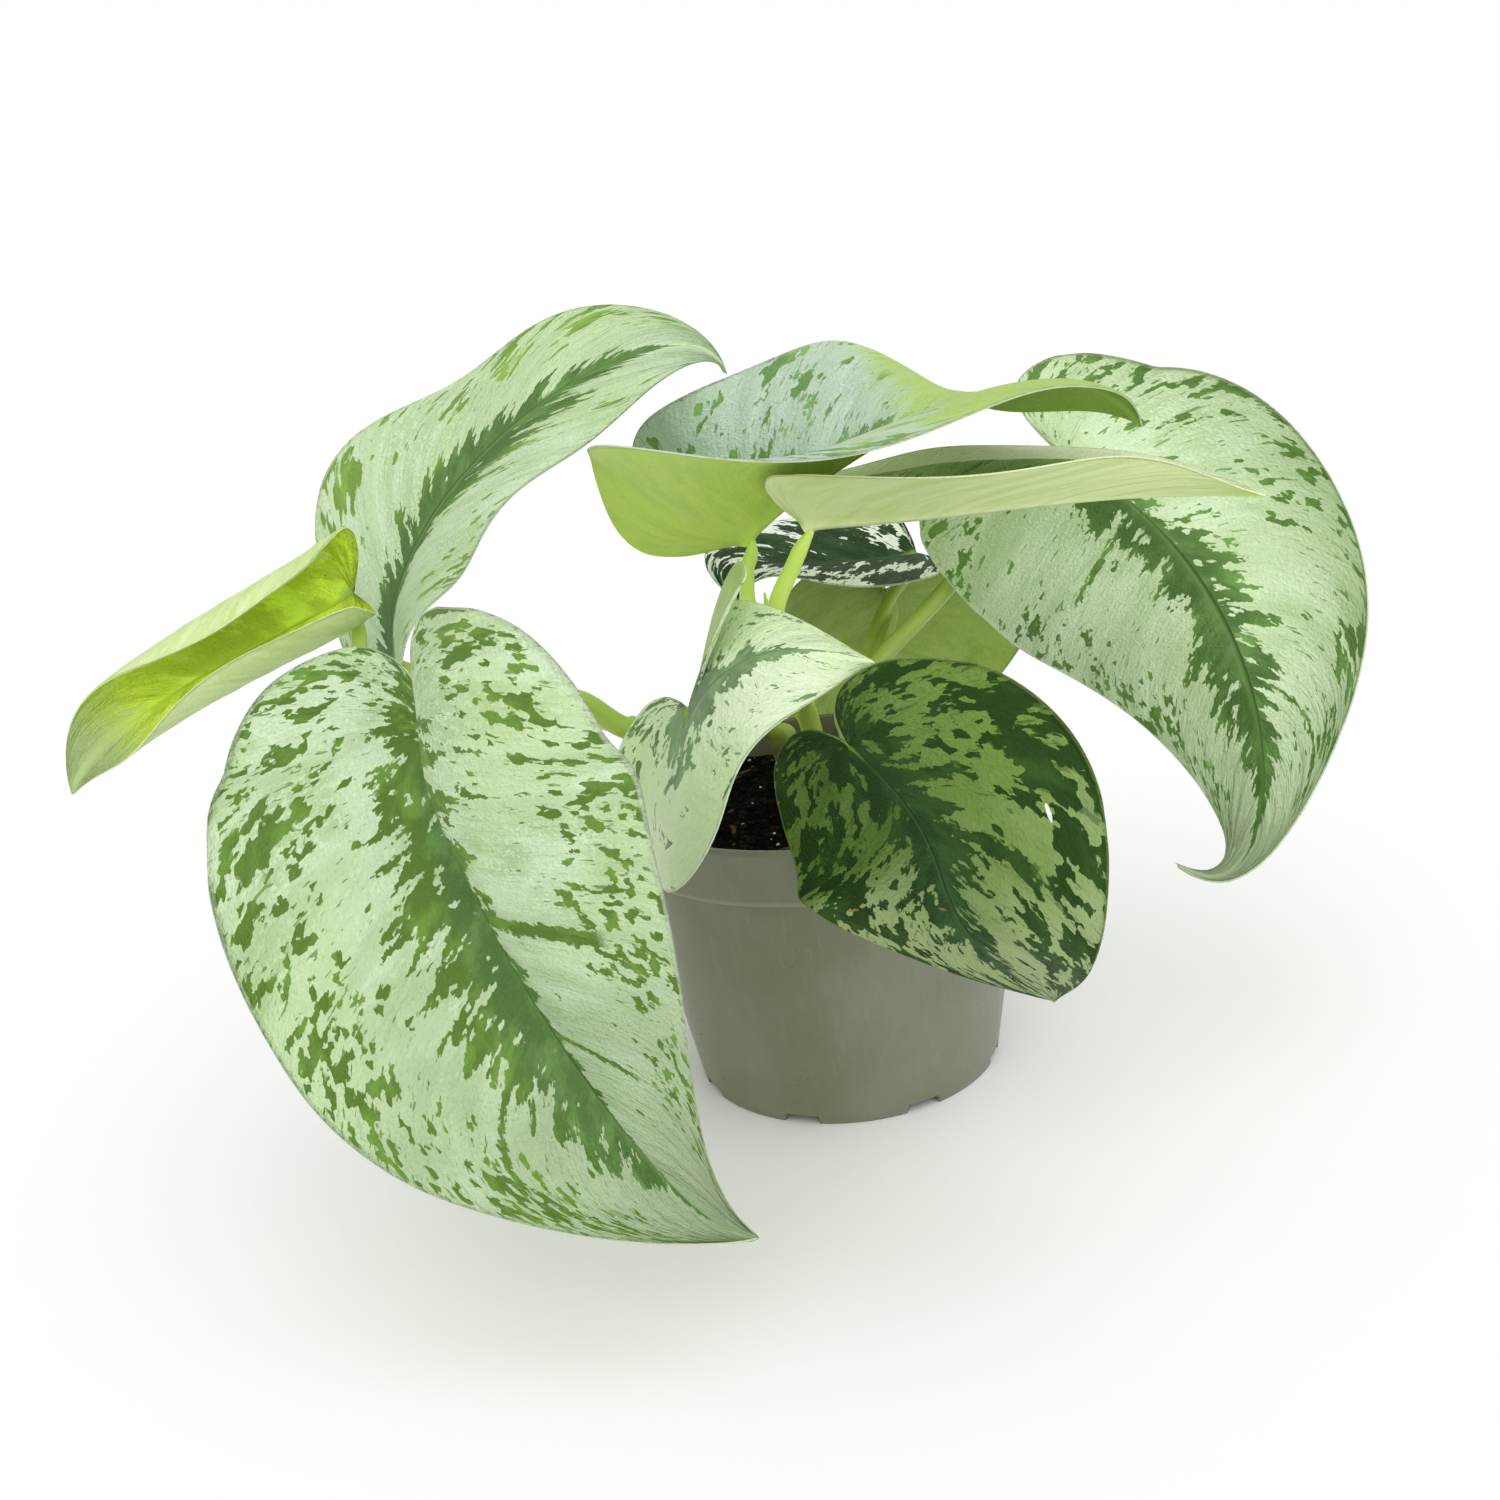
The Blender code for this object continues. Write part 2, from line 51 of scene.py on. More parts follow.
# A number's socket in a node tree; an operator on it adds the Math node of its name. Colours go through mix.
class Wire:
    def __init__(self, tree, source):
        self.tree, self.source = tree, source

    def math(self, operation, *others, swap=False):
        values = [self, *others]
        if swap:
            values = values[::-1]
        return addNode(self.tree, "ShaderNodeMath", dict(operation=operation), values)

    def __add__(self, other):
        return self.math("ADD", other)

    def __sub__(self, other):
        return self.math("SUBTRACT", other)

    def __rsub__(self, other):
        return self.math("SUBTRACT", other, swap=True)

    def __mul__(self, other):
        return self.math("MULTIPLY", other)

    def __truediv__(self, other):
        return self.math("DIVIDE", other)

    def __rtruediv__(self, other):
        return self.math("DIVIDE", other, swap=True)

    def __pow__(self, other):
        return self.math("POWER", other)

    def __abs__(self):
        return self.math("ABSOLUTE")

    __radd__, __rmul__ = __add__, __mul__


# Links a wire to a socket, or sets its plain value
def fillSocket(tree, socket, value):
    if isinstance(value, Wire):
        tree.links.new(value.source, socket)
    elif socket.type == "RGBA":
        socket.default_value = (*value, 1)
    else:
        socket.default_value = value


# Adds a node of a kind, makes its settings first, then fills its inputs by place or name
def addNode(tree, kind, settings=(), inputs=(), output=0):
    node = tree.nodes.new(kind)
    for name, value in dict(settings).items():
        if name == "stops":
            elements = node.color_ramp.elements
            while len(elements) < len(value):
                elements.new(0.5)
            for element, (place, shade) in zip(elements, value):
                element.position = place
                element.color = (*shade, 1)
        else:
            setattr(node, name, value)
    for name, value in inputs.items() if isinstance(inputs, dict) else enumerate(inputs):
        fillSocket(tree, node.inputs[name], value)
    return Wire(tree, node.outputs[output])


# A new material, with the few nodes that every finish here is made of
class Paint:
    def __init__(self, name):
        self.material = bpy.data.materials.new(name)
        self.material.use_nodes = True
        self.tree = self.material.node_tree

    def add(self, kind, settings=(), inputs=(), output=0):
        return addNode(self.tree, kind, settings, inputs, output)

    def place(self):
        return self.add("ShaderNodeTexCoord", output="Object")

    def uv(self, layer):
        return self.split(self.add("ShaderNodeUVMap", dict(uv_map=layer)))[:2]

    def split(self, vector):
        first = self.add("ShaderNodeSeparateXYZ", (), (vector,))
        return [Wire(self.tree, out) for out in first.source.node.outputs]

    def join(self, x, y, z=0.0):
        return self.add("ShaderNodeCombineXYZ", (), (x, y, z))

    def noise(self, vector, scale=1.0, detail=2.0, rough=0.6, warp=0.0):
        values = {"Vector": vector, "Scale": scale, "Detail": detail, "Roughness": rough, "Distortion": warp}
        return self.add("ShaderNodeTexNoise", (), values)

    # Noise over two values; each layer number gives another pattern
    def noiseOn(self, x, y, layer, detail=2.0, rough=0.6, scale=1.0, warp=0.0):
        return self.noise(self.join(x, y, layer), scale, detail, rough, warp)

    # The middle of the small cell that holds (x, y), for countX and countY cells to the unit
    def cellPlace(self, x, y, countX, countY):
        settings = dict(feature="F1", voronoi_dimensions="2D")
        values = {"Vector": self.join(x * countX, y * countY), "Scale": 1.0}
        middle = self.split(self.add("ShaderNodeTexVoronoi", settings, values, output="Position"))
        return middle[0] / countX, middle[1] / countY

    # 0 under low and 1 over high, with a smooth change between
    def step(self, value, low, high):
        values = {"Value": value, "From Min": low, "From Max": high, "To Min": 0.0, "To Max": 1.0}
        return self.add("ShaderNodeMapRange", dict(interpolation_type="SMOOTHSTEP"), values)

    def most(self, a, b):
        return a.math("MAXIMUM", b)

    def mix(self, share, a, b):
        return self.add("ShaderNodeMix", dict(data_type="RGBA"), {0: share, 6: a, 7: b}, output=2)

    def bump(self, height, distance):
        return self.add("ShaderNodeBump", (), {"Height": height, "Distance": distance, "Strength": 1.0})

    # Fills the shader's sockets; a plain number stays on the socket itself
    def finish(self, colour, roughness, gloss, normal=None):
        shader = self.tree.nodes["Principled BSDF"]
        values = {"Base Color": colour, "Roughness": roughness, "Specular IOR Level": gloss, "Normal": normal}
        for name, value in values.items():
            if value is not None:
                fillSocket(self.tree, shader.inputs[name], value)
        return self.material


# Meshes from whole arrays of points and faces

def addObject(name, data):
    obj = bpy.data.objects.new(name, data)
    bpy.context.scene.collection.objects.link(obj)
    return obj


# One smooth piece in metres that rides on the body; uvs are (name, one pair for each corner)
def makePiece(name, points, faces, materials, replaced, uvs=(), faceMaterial=None, tint=None):
    mesh = bpy.data.meshes.new(name)
    mesh.vertices.add(len(points))
    mesh.vertices.foreach_set("co", np.asarray(points, np.float32).ravel())
    faces = np.asarray(faces, np.int32)
    mesh.loops.add(faces.size)
    mesh.loops.foreach_set("vertex_index", faces.ravel())
    mesh.polygons.add(len(faces))
    mesh.polygons.foreach_set("loop_start", np.arange(0, faces.size, faces.shape[1], dtype=np.int32))
    mesh.polygons.foreach_set("loop_total", np.full(len(faces), faces.shape[1], np.int32))
    for layerName, values in uvs:
        layer = mesh.uv_layers.new(name=layerName)
        layer.uv.foreach_set("vector", np.asarray(values, np.float32).ravel())
    if faceMaterial is not None:
        mesh.polygons.foreach_set("material_index", np.asarray(faceMaterial, np.int32))
    if tint is not None:
        mesh.attributes.new("tint", "FLOAT", "POINT").data.foreach_set("value", np.asarray(tint, np.float32))
    mesh.update(calc_edges=True)
    mesh.validate()
    mesh.shade_smooth()
    obj = addObject(name, mesh)
    for material in materials:
        mesh.materials.append(material)
    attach(obj, "root")
    if replaced:
        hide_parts(*replaced)
    return obj


def unit(vectors):
    return vectors / np.maximum(np.linalg.norm(vectors, axis=-1, keepdims=True), 1e-12)


# Catmull-Rom curve: each span is the cubic that meets its two ends with the slope of the neighbours
def through(points, cuts):
    points = np.asarray(points, float)
    padded = np.vstack([2 * points[0] - points[1], points, 2 * points[-1] - points[-2]])
    a, b, c, d = padded[:-3, None], padded[1:-2, None], padded[2:-1, None], padded[3:, None]
    t = np.linspace(0, 1, cuts, endpoint=False)[None, :, None]
    curve = 0.5 * (2 * b + (c - a) * t + (2 * a - 5 * b + 4 * c - d) * t**2 + (3 * b - a - 3 * c + d) * t**3)
    return np.vstack([curve.reshape(-1, points.shape[1]), points[-1:]])


# The length run along a line of points, from 0 at the first
def runAlong(points):
    return np.concatenate([[0], np.cumsum(np.linalg.norm(np.diff(points, axis=0), axis=1))])


# The columns of values at the places asked for, straight between the known places
def valuesAt(places, known, values):
    return np.stack([np.interp(places, known, column) for column in values.T], -1)


# A side direction carried along a curve without turning: at each point it loses what points forward
def carried(side, forward):
    sides = []
    for direction in forward:
        side = unit(side - direction * side.dot(direction))
        sides.append(side)
    return np.array(sides)


# Two triangles, a b c and a c d, for each square of point numbers
def triangles(a, b, c, d):
    return np.concatenate([np.stack(t, -1).reshape(-1, 3) for t in ((a, b, c), (a, c, d))])


# Which faces have three different corners, and are not closed up at a pole or seam
def isWhole(faces):
    return (faces[:, 0] != faces[:, 1]) & (faces[:, 1] != faces[:, 2]) & (faces[:, 0] != faces[:, 2])


# Faces of a surface turned round an axis: rows of points, of which the first and last row are each one point
def turnedFaces(rows, columns):
    grid = np.arange(rows * columns).reshape(rows, columns)
    grid[0], grid[-1] = grid[0, 0], grid[-1, 0]
    ahead = np.roll(grid, -1, axis=1)
    faces = triangles(grid[:-1], grid[1:], ahead[1:], ahead[:-1])
    return faces[isWhole(faces)]


# Only the points that faces use, and the faces numbered to match
def compact(points, faces):
    used, inverse = np.unique(faces, return_inverse=True)
    return points[used], inverse.reshape(faces.shape)


# The leaves

# Half of a blade's flat outline, from the petiole to the tip: along in blade lengths, out in half widths
leafOutline = (
    (0, 0), (-0.06, 0.10), (-0.13, 0.27), (-0.165, 0.50), (-0.12, 0.77), (0.02, 0.96), (0.18, 1.0),
    (0.36, 0.93), (0.54, 0.76), (0.70, 0.53), (0.83, 0.31), (0.93, 0.12), (1.0, 0),
)

leafBuild = dict(
    rows=120,  # from the petiole round the margin to the tip
    halfColumns=32,  # from the midrib to the margin
    thickness=0.62,  # mm, at the midrib
    marginThickness=0.42,
    rimBulge=0.12,  # how far the rounded rim stands out, mm
    ribHeight=0.75,  # of the midrib under the blade, mm
    ribWidth=1.1,
    ribSwell=1.2,  # how much more of it there is where the petiole joins
    swellReach=4.0,
    grooveDepth=0.06,  # over the midrib, mm
    grooveWidth=0.9,
    veins=13,  # side veins in each half
    veinRelief=0.2,  # mm
    veinLean=0.3,  # how much they run on towards the tip
    baseShare=0.30,  # the share of rows that start at the petiole
    marginStretch=1.25,  # length of the margin in blade lengths
)

# One entry for each leaf. Midrib: the four Bezier points of the midrib, mm. Lobes and taper: how far back the
# right and left lobes reach, and how full the outer part is. Roll and twist in degrees. Fold and curl in
# degrees: right base, right tip, left base, left tip. Waves: right and left height in mm, how many to the
# length, right and left start. Most values here weren't chosen by hand: they are a program's fit of
# this formula to outlines marked on the photo, rounded.
leafShapes = {
    "leaf_front_left": dict(
        midrib=((-82, -82, 123), (-88, -89, 103), (-46, -112, 18), (-27, -130, 31)), width=128,
        lobes=(1.2, 1.2), taper=-0.4, roll=-69, twist=60, fold=(-10, 66, 32, 20), curl=(120, -14, -112, -20),
        waves=(4, -3, 1.2, 0.4, 0.35)),
    "leaf_back_left": dict(
        midrib=((-100, -19, 126), (-105, 0, 167), (-20, -2, 211), (-12, 15, 183)), width=69,
        lobes=(0.6, 0.7), taper=0.1, roll=60, twist=-34, fold=(6, -2, 24, 26), curl=(-12, -32, 2, 16),
        waves=(-3, -7, 1.9, -0.09, 0.22)),
    "leaf_rolled_left": dict(
        midrib=((-107, -20, 146), (-110, -23, 143), (-174, -23, 125), (-177, -36, 109)), width=53,
        lobes=(0.6, 0.2), taper=0.4, roll=60, twist=-6, fold=(-2, -2, 6, 4), curl=(160, 226, 118, 126),
        waves=(0, 0, 1.5, 0.26, 0.26)),
    "leaf_centre_top": dict(
        midrib=((-12, -3, 144), (17, -48, 174), (69, -20, 188), (84, -16, 162)), width=84,
        lobes=(1.0, 1.1), taper=0.0, roll=-38, twist=36, fold=(60, -22, 60, -22), curl=(40, -114, 16, -32),
        waves=(7, -6, 1.5, 0.16, 0.03)),
    "leaf_half_rolled": dict(
        midrib=((2, -22, 149), (38, -41, 149), (71, -21, 150), (113, -18, 142)), width=53,
        lobes=(0.2, 0.1), taper=0.5, roll=5, twist=-8, fold=(38, 24, 36, 40), curl=(-22, 16, -20, -18),
        waves=(2, -1, 1.4, 0.28, 0.38)),
    "leaf_right": dict(
        midrib=((76, 7, 149), (131, 2, 103), (107, -49, 35), (85, -26, 54)), width=102,
        lobes=(1.4, 1.2), taper=-0.5, roll=-51, twist=-73, fold=(-25, -17, -67, 43), curl=(-40, -13, 129, 84),
        waves=(3, 3, 1.5, 0.12, 0.24)),
    "leaf_twisted": dict(
        midrib=((-30, -55, 117), (-32, -62, 105), (-27, -72, 144), (11, -68, 126)), width=75,
        lobes=(2.3, 0.1), taper=-0.1, roll=-66, twist=8, fold=(12, -10, 4, -12), curl=(-8, -28, -12, -2),
        waves=(-7, 0, 1.0, 0.12, 0.26)),
    "leaf_front_dark": dict(
        midrib=((3, -87, 114), (29, -95, 86), (5, -106, 87), (41, -88, 52)), width=91,
        lobes=(0.8, 0.8), taper=0.3, roll=-101, twist=-14, fold=(-46, 2, 46, 6), curl=(52, 24, -58, -36),
        waves=(-3, 5, 1.1, 0.35, 0.43)),
    "leaf_back_dark": dict(
        midrib=((36, 50, 125), (0, 46, 123), (-20, 34, 138), (-16, 18, 124)), width=62,
        lobes=(0.1, 0.1), taper=0.0, roll=3, twist=4, fold=(22, 16, 8, 4), curl=(-12, -12, -10, -16),
        waves=(0, 0, 1.5, 0.25, 0.26)),
    "leaf_back_hanging": dict(
        midrib=((27, 54, 115), (27, 69, 97), (30, 80, 73), (29, 85, 47)), width=90,
        lobes=(0.3, 1.3), taper=0.0, roll=4, twist=0, fold=(8, 6, 8, 8), curl=(-30, -24, -66, -60),
        waves=(-1, 0, 1.5, 0.26, 0.25)),
}

# The dark marks of all leaves: how many cells to the cm along and across, and the levels where marks begin
markBuild = dict(
    cells=(10.5, 5.2),
    fineCells=(25.0, 9.5),
    fleckLevel=0.63,
    scratchLevel=0.685,
    holes=0.65,  # the noise level over which the band has a hole
    jointColour=(0.28, 0.42, 0.07),  # the green spot where the petiole joins
)

# The look of a blade's two faces, and below it what each leaf has otherwise. Some leaves' colours there are
# lightened or darkened as painted light and shade, as the note above each says.
# silver, silverShade, warmAndShade: the pale ground; its darker tone, in random patches and in bands along
# the
#   veins that are partly a painted shade of the blade's corrugation; and its yellower areas near the margin,
#   which on leaf_right are darker, a painted shade where the blade turns away from the light
# tipToneAndShade, tipFrom: the ground's colour towards the tip, and between which shares of the outline it
# comes
#   in; on leaf_front_left and leaf_right it is darker, a painted shade where the blade turns away from the
#   light
# dark, cover, fleck, lean: the flecks' colour, how much ground they fill near the midrib and near the margin,
#   how fine they are, and how many more there are on the right half
# stripe: the band beside the midrib, as (place along the outline, reach to the right margin, to the left one)
# heart: how far the dark spot round the petiole reaches on the right and the left half, cm
# branches: dark side veins, as (side, start along the outline, reach in cm, slant, thickness in cm)
# scars: spots, as (side, place along the outline, place across, length and width in cm, colour)
# tip, tipColour: between which shares of the outline the green tip comes in, and its colour
# under, underMark, showThrough: the lower face, its mottle, and how much the marks show on it
paleLook = dict(
    silver=(0.55, 0.69, 0.45), silverShade=(0.42, 0.58, 0.31), warmAndShade=(0.46, 0.62, 0.27), tipFrom=(0.42, 0.72),
    dark=(0.085, 0.185, 0.028), cover=(0.10, 0.40), fleck=1.0, lean=0.0, scratch=0.8, seed=0.0,
    stripeColour=(0.078, 0.165, 0.036), heart=(0.7, 0.7), branches=(), scars=(),
    stripe=((0.2, 0.1, 0.1), (0.35, 0.2, 0.2), (0.5, 0.25, 0.15), (0.7, 0.22, 0.1), (0.85, 0.1, 0.03),
            (0.95, 0, 0)),
    edge=0.98, edgeColourAndLight=(0.60, 0.72, 0.50), tip=(2.0, 3.0), tipColour=(0.42, 0.58, 0.15),
    under=(0.36, 0.52, 0.13), underMark=(0.26, 0.42, 0.07), showThrough=0.4, rough=0.42, gloss=0.25)

leafLooks = {
    "leaf_front_left": dict(
        # Painted shade: a deeper darker tone, for stronger corrugation bands, and a greyer tip where the
        # blade curls down away from the light
        silverShade=(0.39, 0.54, 0.27), tipToneAndShade=(0.36, 0.46, 0.27), tipFrom=(0.46, 0.9),
        dark=(0.095, 0.185, 0.022), cover=(-0.10, 0.42), fleck=2.1, lean=0.02, heart=(2.6, 1.1), seed=3.1,
        stripe=((0.1, 0.3, 0.2), (0.25, 0.35, 0.25), (0.33, 0.36, 0.42), (0.42, 0.32, 0.25),
                (0.5, 0.33, 0.14), (0.6, 0.3, 0.09), (0.7, 0.27, 0.06), (0.8, 0.28, 0.03), (0.86, 0.1, 0.02),
                (0.93, 0.04, 0)),
        branches=((-1, 0.47, 4.6, 0.0, 0.13), (-1, 0.62, 3.2, 0.12, 0.07), (1, 0.60, 5.0, 0.0, 0.06))),
    "leaf_back_left": dict(
        dark=(0.17, 0.30, 0.05), cover=(-0.06, 0.34), fleck=1.3, lean=-0.08, scratch=0.3, seed=8.4,
        stripe=((0.2, 0.05, 0.12), (0.35, 0.08, 0.2), (0.45, 0.12, 0.26), (0.52, 0.35, 0.22),
                (0.62, 0.38, 0.2), (0.72, 0.36, 0.18), (0.84, 0.12, 0.14), (0.9, 0.02, 0))),
    "leaf_rolled_left": dict(
        # Painted light: the inner face's colours are lightened against the shade inside the rolled tube
        silver=(0.62, 0.74, 0.16), silverShade=(0.50, 0.66, 0.07), warmAndShade=(0.60, 0.74, 0.10),
        dark=(0.48, 0.63, 0.04), stripeColour=(0.44, 0.60, 0.04), cover=(0.8, 0.5), scratch=0.3, seed=12.7,
        under=(0.62, 0.74, 0.36), underMark=(0.46, 0.60, 0.20), edgeColourAndLight=(0.70, 0.80, 0.46),
        tip=(0.72, 0.9), tipColour=(0.38, 0.50, 0.20)),
    "leaf_centre_top": dict(
        silver=(0.50, 0.62, 0.50), silverShade=(0.40, 0.53, 0.38), warmAndShade=(0.46, 0.60, 0.42),
        dark=(0.14, 0.27, 0.075), stripeColour=(0.14, 0.27, 0.10), cover=(0.22, 0.36), seed=17.2,
        under=(0.58, 0.78, 0.15), underMark=(0.44, 0.66, 0.09), showThrough=0.12,
        tip=(0.55, 0.68), tipColour=(0.40, 0.58, 0.12)),
    "leaf_half_rolled": dict(
        # Painted shade: the upper face, inside the fold, is dark green. Painted light: the wide cream margin,
        # bright where the leaf above shades it, and the lower face, lightened against the shade it lies in
        silver=(0.24, 0.38, 0.07), silverShade=(0.15, 0.27, 0.03), dark=(0.10, 0.19, 0.015),
        cover=(0.3, 0.05), seed=21.9, under=(0.82, 0.92, 0.50), underMark=(0.58, 0.76, 0.24),
        showThrough=0.08, edge=0.70, edgeColourAndLight=(0.92, 1.0, 0.66), tip=(0.88, 0.97),
        tipColour=(0.60, 0.80, 0.22)),
    "leaf_right": dict(
        # Painted light: the silver is lightened against the shadow of the leaves above. Painted shade: the
        # yellower tone and the tip colour darken it towards the margin and the tip, where the blade turns
        # away from the light
        silver=(0.66, 0.80, 0.53), silverShade=(0.52, 0.68, 0.38), warmAndShade=(0.50, 0.64, 0.30),
        tipToneAndShade=(0.44, 0.55, 0.34), tipFrom=(0.62, 0.95), dark=(0.12, 0.235, 0.05), cover=(0.06, 0.38),
        fleck=1.35, seed=26.3,
        stripe=((0.28, 0.1, 0.1), (0.38, 0.22, 0.14), (0.48, 0.16, 0.22), (0.58, 0.24, 0.2),
                (0.7, 0.24, 0.14), (0.76, 0.14, 0.14), (0.84, 0.04, 0.06), (0.92, 0, 0)),
        branches=((1, 0.36, 3.0, 0.06, 0.05), (-1, 0.62, 4.4, 0.0, 0.05))),
    "leaf_twisted": dict(
        # Painted light: silver and its darker tone are lightened for the lower part, which faces away from
        # the light
        silver=(0.80, 0.92, 0.66), silverShade=(0.68, 0.82, 0.55), warmAndShade=(0.66, 0.84, 0.42),
        dark=(0.13, 0.23, 0.085), stripeColour=(0.16, 0.25, 0.12), cover=(0.12, 0.24), seed=31.5,
        stripe=((0.2, 0.3, 0.3), (0.35, 0.3, 0.3), (0.5, 0.2, 0.22), (0.7, 0.1, 0.12), (0.85, 0.02, 0.02))),
    "leaf_front_dark": dict(
        silver=(0.145, 0.24, 0.045), silverShade=(0.085, 0.165, 0.02), warmAndShade=(0.16, 0.26, 0.04),
        tipToneAndShade=(0.33, 0.43, 0.19), dark=(0.018, 0.052, 0.005), stripeColour=(0.016, 0.062, 0.008),
        cover=(0.22, 0.52), fleck=1.5, scratch=0.5, heart=(2.0, 1.8), gloss=0.12, seed=36.6,
        edge=0.985, edgeColourAndLight=(0.20, 0.30, 0.08),
        stripe=((0.05, 0.3, 0.3), (0.25, 0.4, 0.4), (0.4, 0.35, 0.32), (0.55, 0.3, 0.24), (0.75, 0.2, 0.14),
                (0.9, 0.08, 0.05)),
        branches=((-1, 0.45, 3.2, 0.05, 0.09), (-1, 0.36, 2.6, 0.0, 0.10), (1, 0.55, 2.4, 0.0, 0.08)),
        scars=((-1, 0.523, 0.78, 0.09, 0.045, (0.86, 0.88, 0.80)),
               (1, 0.63, 0.78, 0.035, 0.16, (0.26, 0.19, 0.07)),
               (1, 0.64, 0.10, 0.035, 0.18, (0.22, 0.16, 0.05)))),
    "leaf_back_dark": dict(
        # Painted light: the silver is near white, against the shadow of the leaves above
        silver=(0.95, 1.0, 0.90), silverShade=(0.80, 0.93, 0.72), warmAndShade=(0.60, 0.76, 0.45),
        dark=(0.014, 0.045, 0.006), stripeColour=(0.014, 0.05, 0.01), cover=(0.6, 0.6), fleck=0.8, gloss=0.12,
        under=(0.20, 0.34, 0.05), seed=41.8),
    "leaf_back_hanging": dict(
        under=(0.36, 0.52, 0.10), underMark=(0.25, 0.40, 0.06), seed=46.2),
}


# The outline's points, lobes stretched and tip tapered, as a Catmull-Rom curve cut into even rows
def halfOutline(lobe, taper, rows):
    points = np.array(leafOutline, float)
    points[:, 0] = np.where(points[:, 0] < 0, points[:, 0] * lobe, points[:, 0])
    outer = (points[:, 0] > 0.2) & (points[:, 0] < 0.99)
    points[outer, 1] *= 1 + taper * (points[outer, 0] - 0.2)
    curve = through(points, 12)
    along = runAlong(curve * (1, 0.42))
    return valuesAt(np.linspace(0, along[-1], rows), along, curve)


# Bezier midrib cut evenly. Its forward directions are smoothed, its side is carried along without turning,
# and side and normal are then rolled by roll + twist * share of length.
def spineOf(shape, samples=60, calm=40):
    a, b, c, d = np.array(shape["midrib"], float)
    u = np.linspace(0, 1, 4 * samples)[:, None]
    curve = (1 - u)**3 * a + 3 * u * (1 - u)**2 * b + 3 * u**2 * (1 - u) * c + u**3 * d
    run = runAlong(curve)
    reach = np.linspace(0, run[-1], samples)
    points = valuesAt(reach, run, curve)
    forward = unit(np.gradient(points, axis=0))
    for _ in range(calm):
        padded = np.vstack([forward[:1], forward, forward[-1:]])
        forward = unit(padded[:-2] + 2 * padded[1:-1] + padded[2:])
    sides = carried(unit(np.cross(forward[0], (0, 0, 1))), forward)
    normals = np.cross(sides, forward)
    turn = np.radians(shape["roll"] + shape["twist"] * reach / reach[-1])[:, None]
    rolled = sides * np.cos(turn) + normals * np.sin(turn)
    return reach, points, forward, rolled, normals * np.cos(turn) - sides * np.sin(turn)


# Each flat point goes to the midrib's point at x, then out along an arc: sideways is the integral of
# cos(fold + curl * out) and rise that of sin, plus waves that grow with the square of out.
def bladePoints(shape, spine, x, y, right):
    reach = spine[0]
    near = np.clip(x, 0, reach[-1])
    place, ahead, across, up = (valuesAt(near, reach, part) for part in spine[1:])
    half = shape["width"] / 2
    share = near / reach[-1]
    fold, curl = (
        np.radians(np.where(right, v[0] + (v[1] - v[0]) * share, v[2] + (v[3] - v[2]) * share))
        for v in (shape["fold"], shape["curl"]))
    curl = curl / half
    curl = np.where(np.abs(curl) < 1e-6, 1e-6, curl)
    out = np.abs(y)
    sideways = (np.sin(fold + curl * out) - np.sin(fold)) / curl * np.where(right, 1, -1)
    rise = (np.cos(fold) - np.cos(fold + curl * out)) / curl
    rightHeight, leftHeight, count, rightStart, leftStart = shape["waves"]
    height = np.where(right, rightHeight, leftHeight)
    start = np.where(right, rightStart, leftStart)
    rise = rise + height * (out / half)**2 * np.sin(2 * math.pi * (count * x / reach[-1] + start))
    lobe = unit(ahead) * np.minimum(x, 0)[..., None]
    return place + unit(across) * sideways[..., None] + up * rise[..., None] + lobe


# Upper-face normals: the cross product of the two slopes, taken just inside each half
def bladeNormals(shape, spine, x, y, right):
    step = 0.05
    way = np.where(right, 1.0, -1.0)
    inside = np.where(np.abs(y) < step, way * step, y)
    here = bladePoints(shape, spine, x, inside, right)
    alongX = bladePoints(shape, spine, x + step, inside, right) - here
    alongY = (bladePoints(shape, spine, x, inside + way * step, right) - here) * way[..., None]
    return unit(np.cross(alongY, alongX))


# Low between the side veins and high at them: a sharp-crested wave, faint at the midrib and the margin
def veinWave(share, out):
    wave = np.abs(np.sin(math.pi * (share * leafBuild["veins"] + 0.15 * np.sin(share * 31))))
    return (1 - wave)**2 * np.sin(math.pi * np.clip(out, 0, 1))**0.7


# The faces of the upper sheet, the lower sheet and the rim between them, whose points are numbered in that
# order, and which faces are on the lower sheet
def leafFaces(rows, columns):
    count = rows * columns
    grid = np.arange(count).reshape(rows, columns)
    rim = 2 * count + np.arange(2 * rows).reshape(rows, 2)
    upper = triangles(grid[:-1, :-1], grid[:-1, 1:], grid[1:, 1:], grid[1:, :-1])
    edges = []
    for side, flip in ((0, False), (-1, True)):
        top, low, middle = grid[:, side], count + grid[:, side], rim[:, side]
        for p, q in ((top, middle), (middle, low)):
            strip = triangles(p[:-1], q[:-1], q[1:], p[1:])
            edges.append(strip[:, ::-1] if flip else strip)
    isUnder = np.repeat([0, 1, 0], [len(upper), len(upper), sum(len(strip) for strip in edges)])
    return np.concatenate([upper, (upper + count)[:, ::-1], *edges]), isUnder


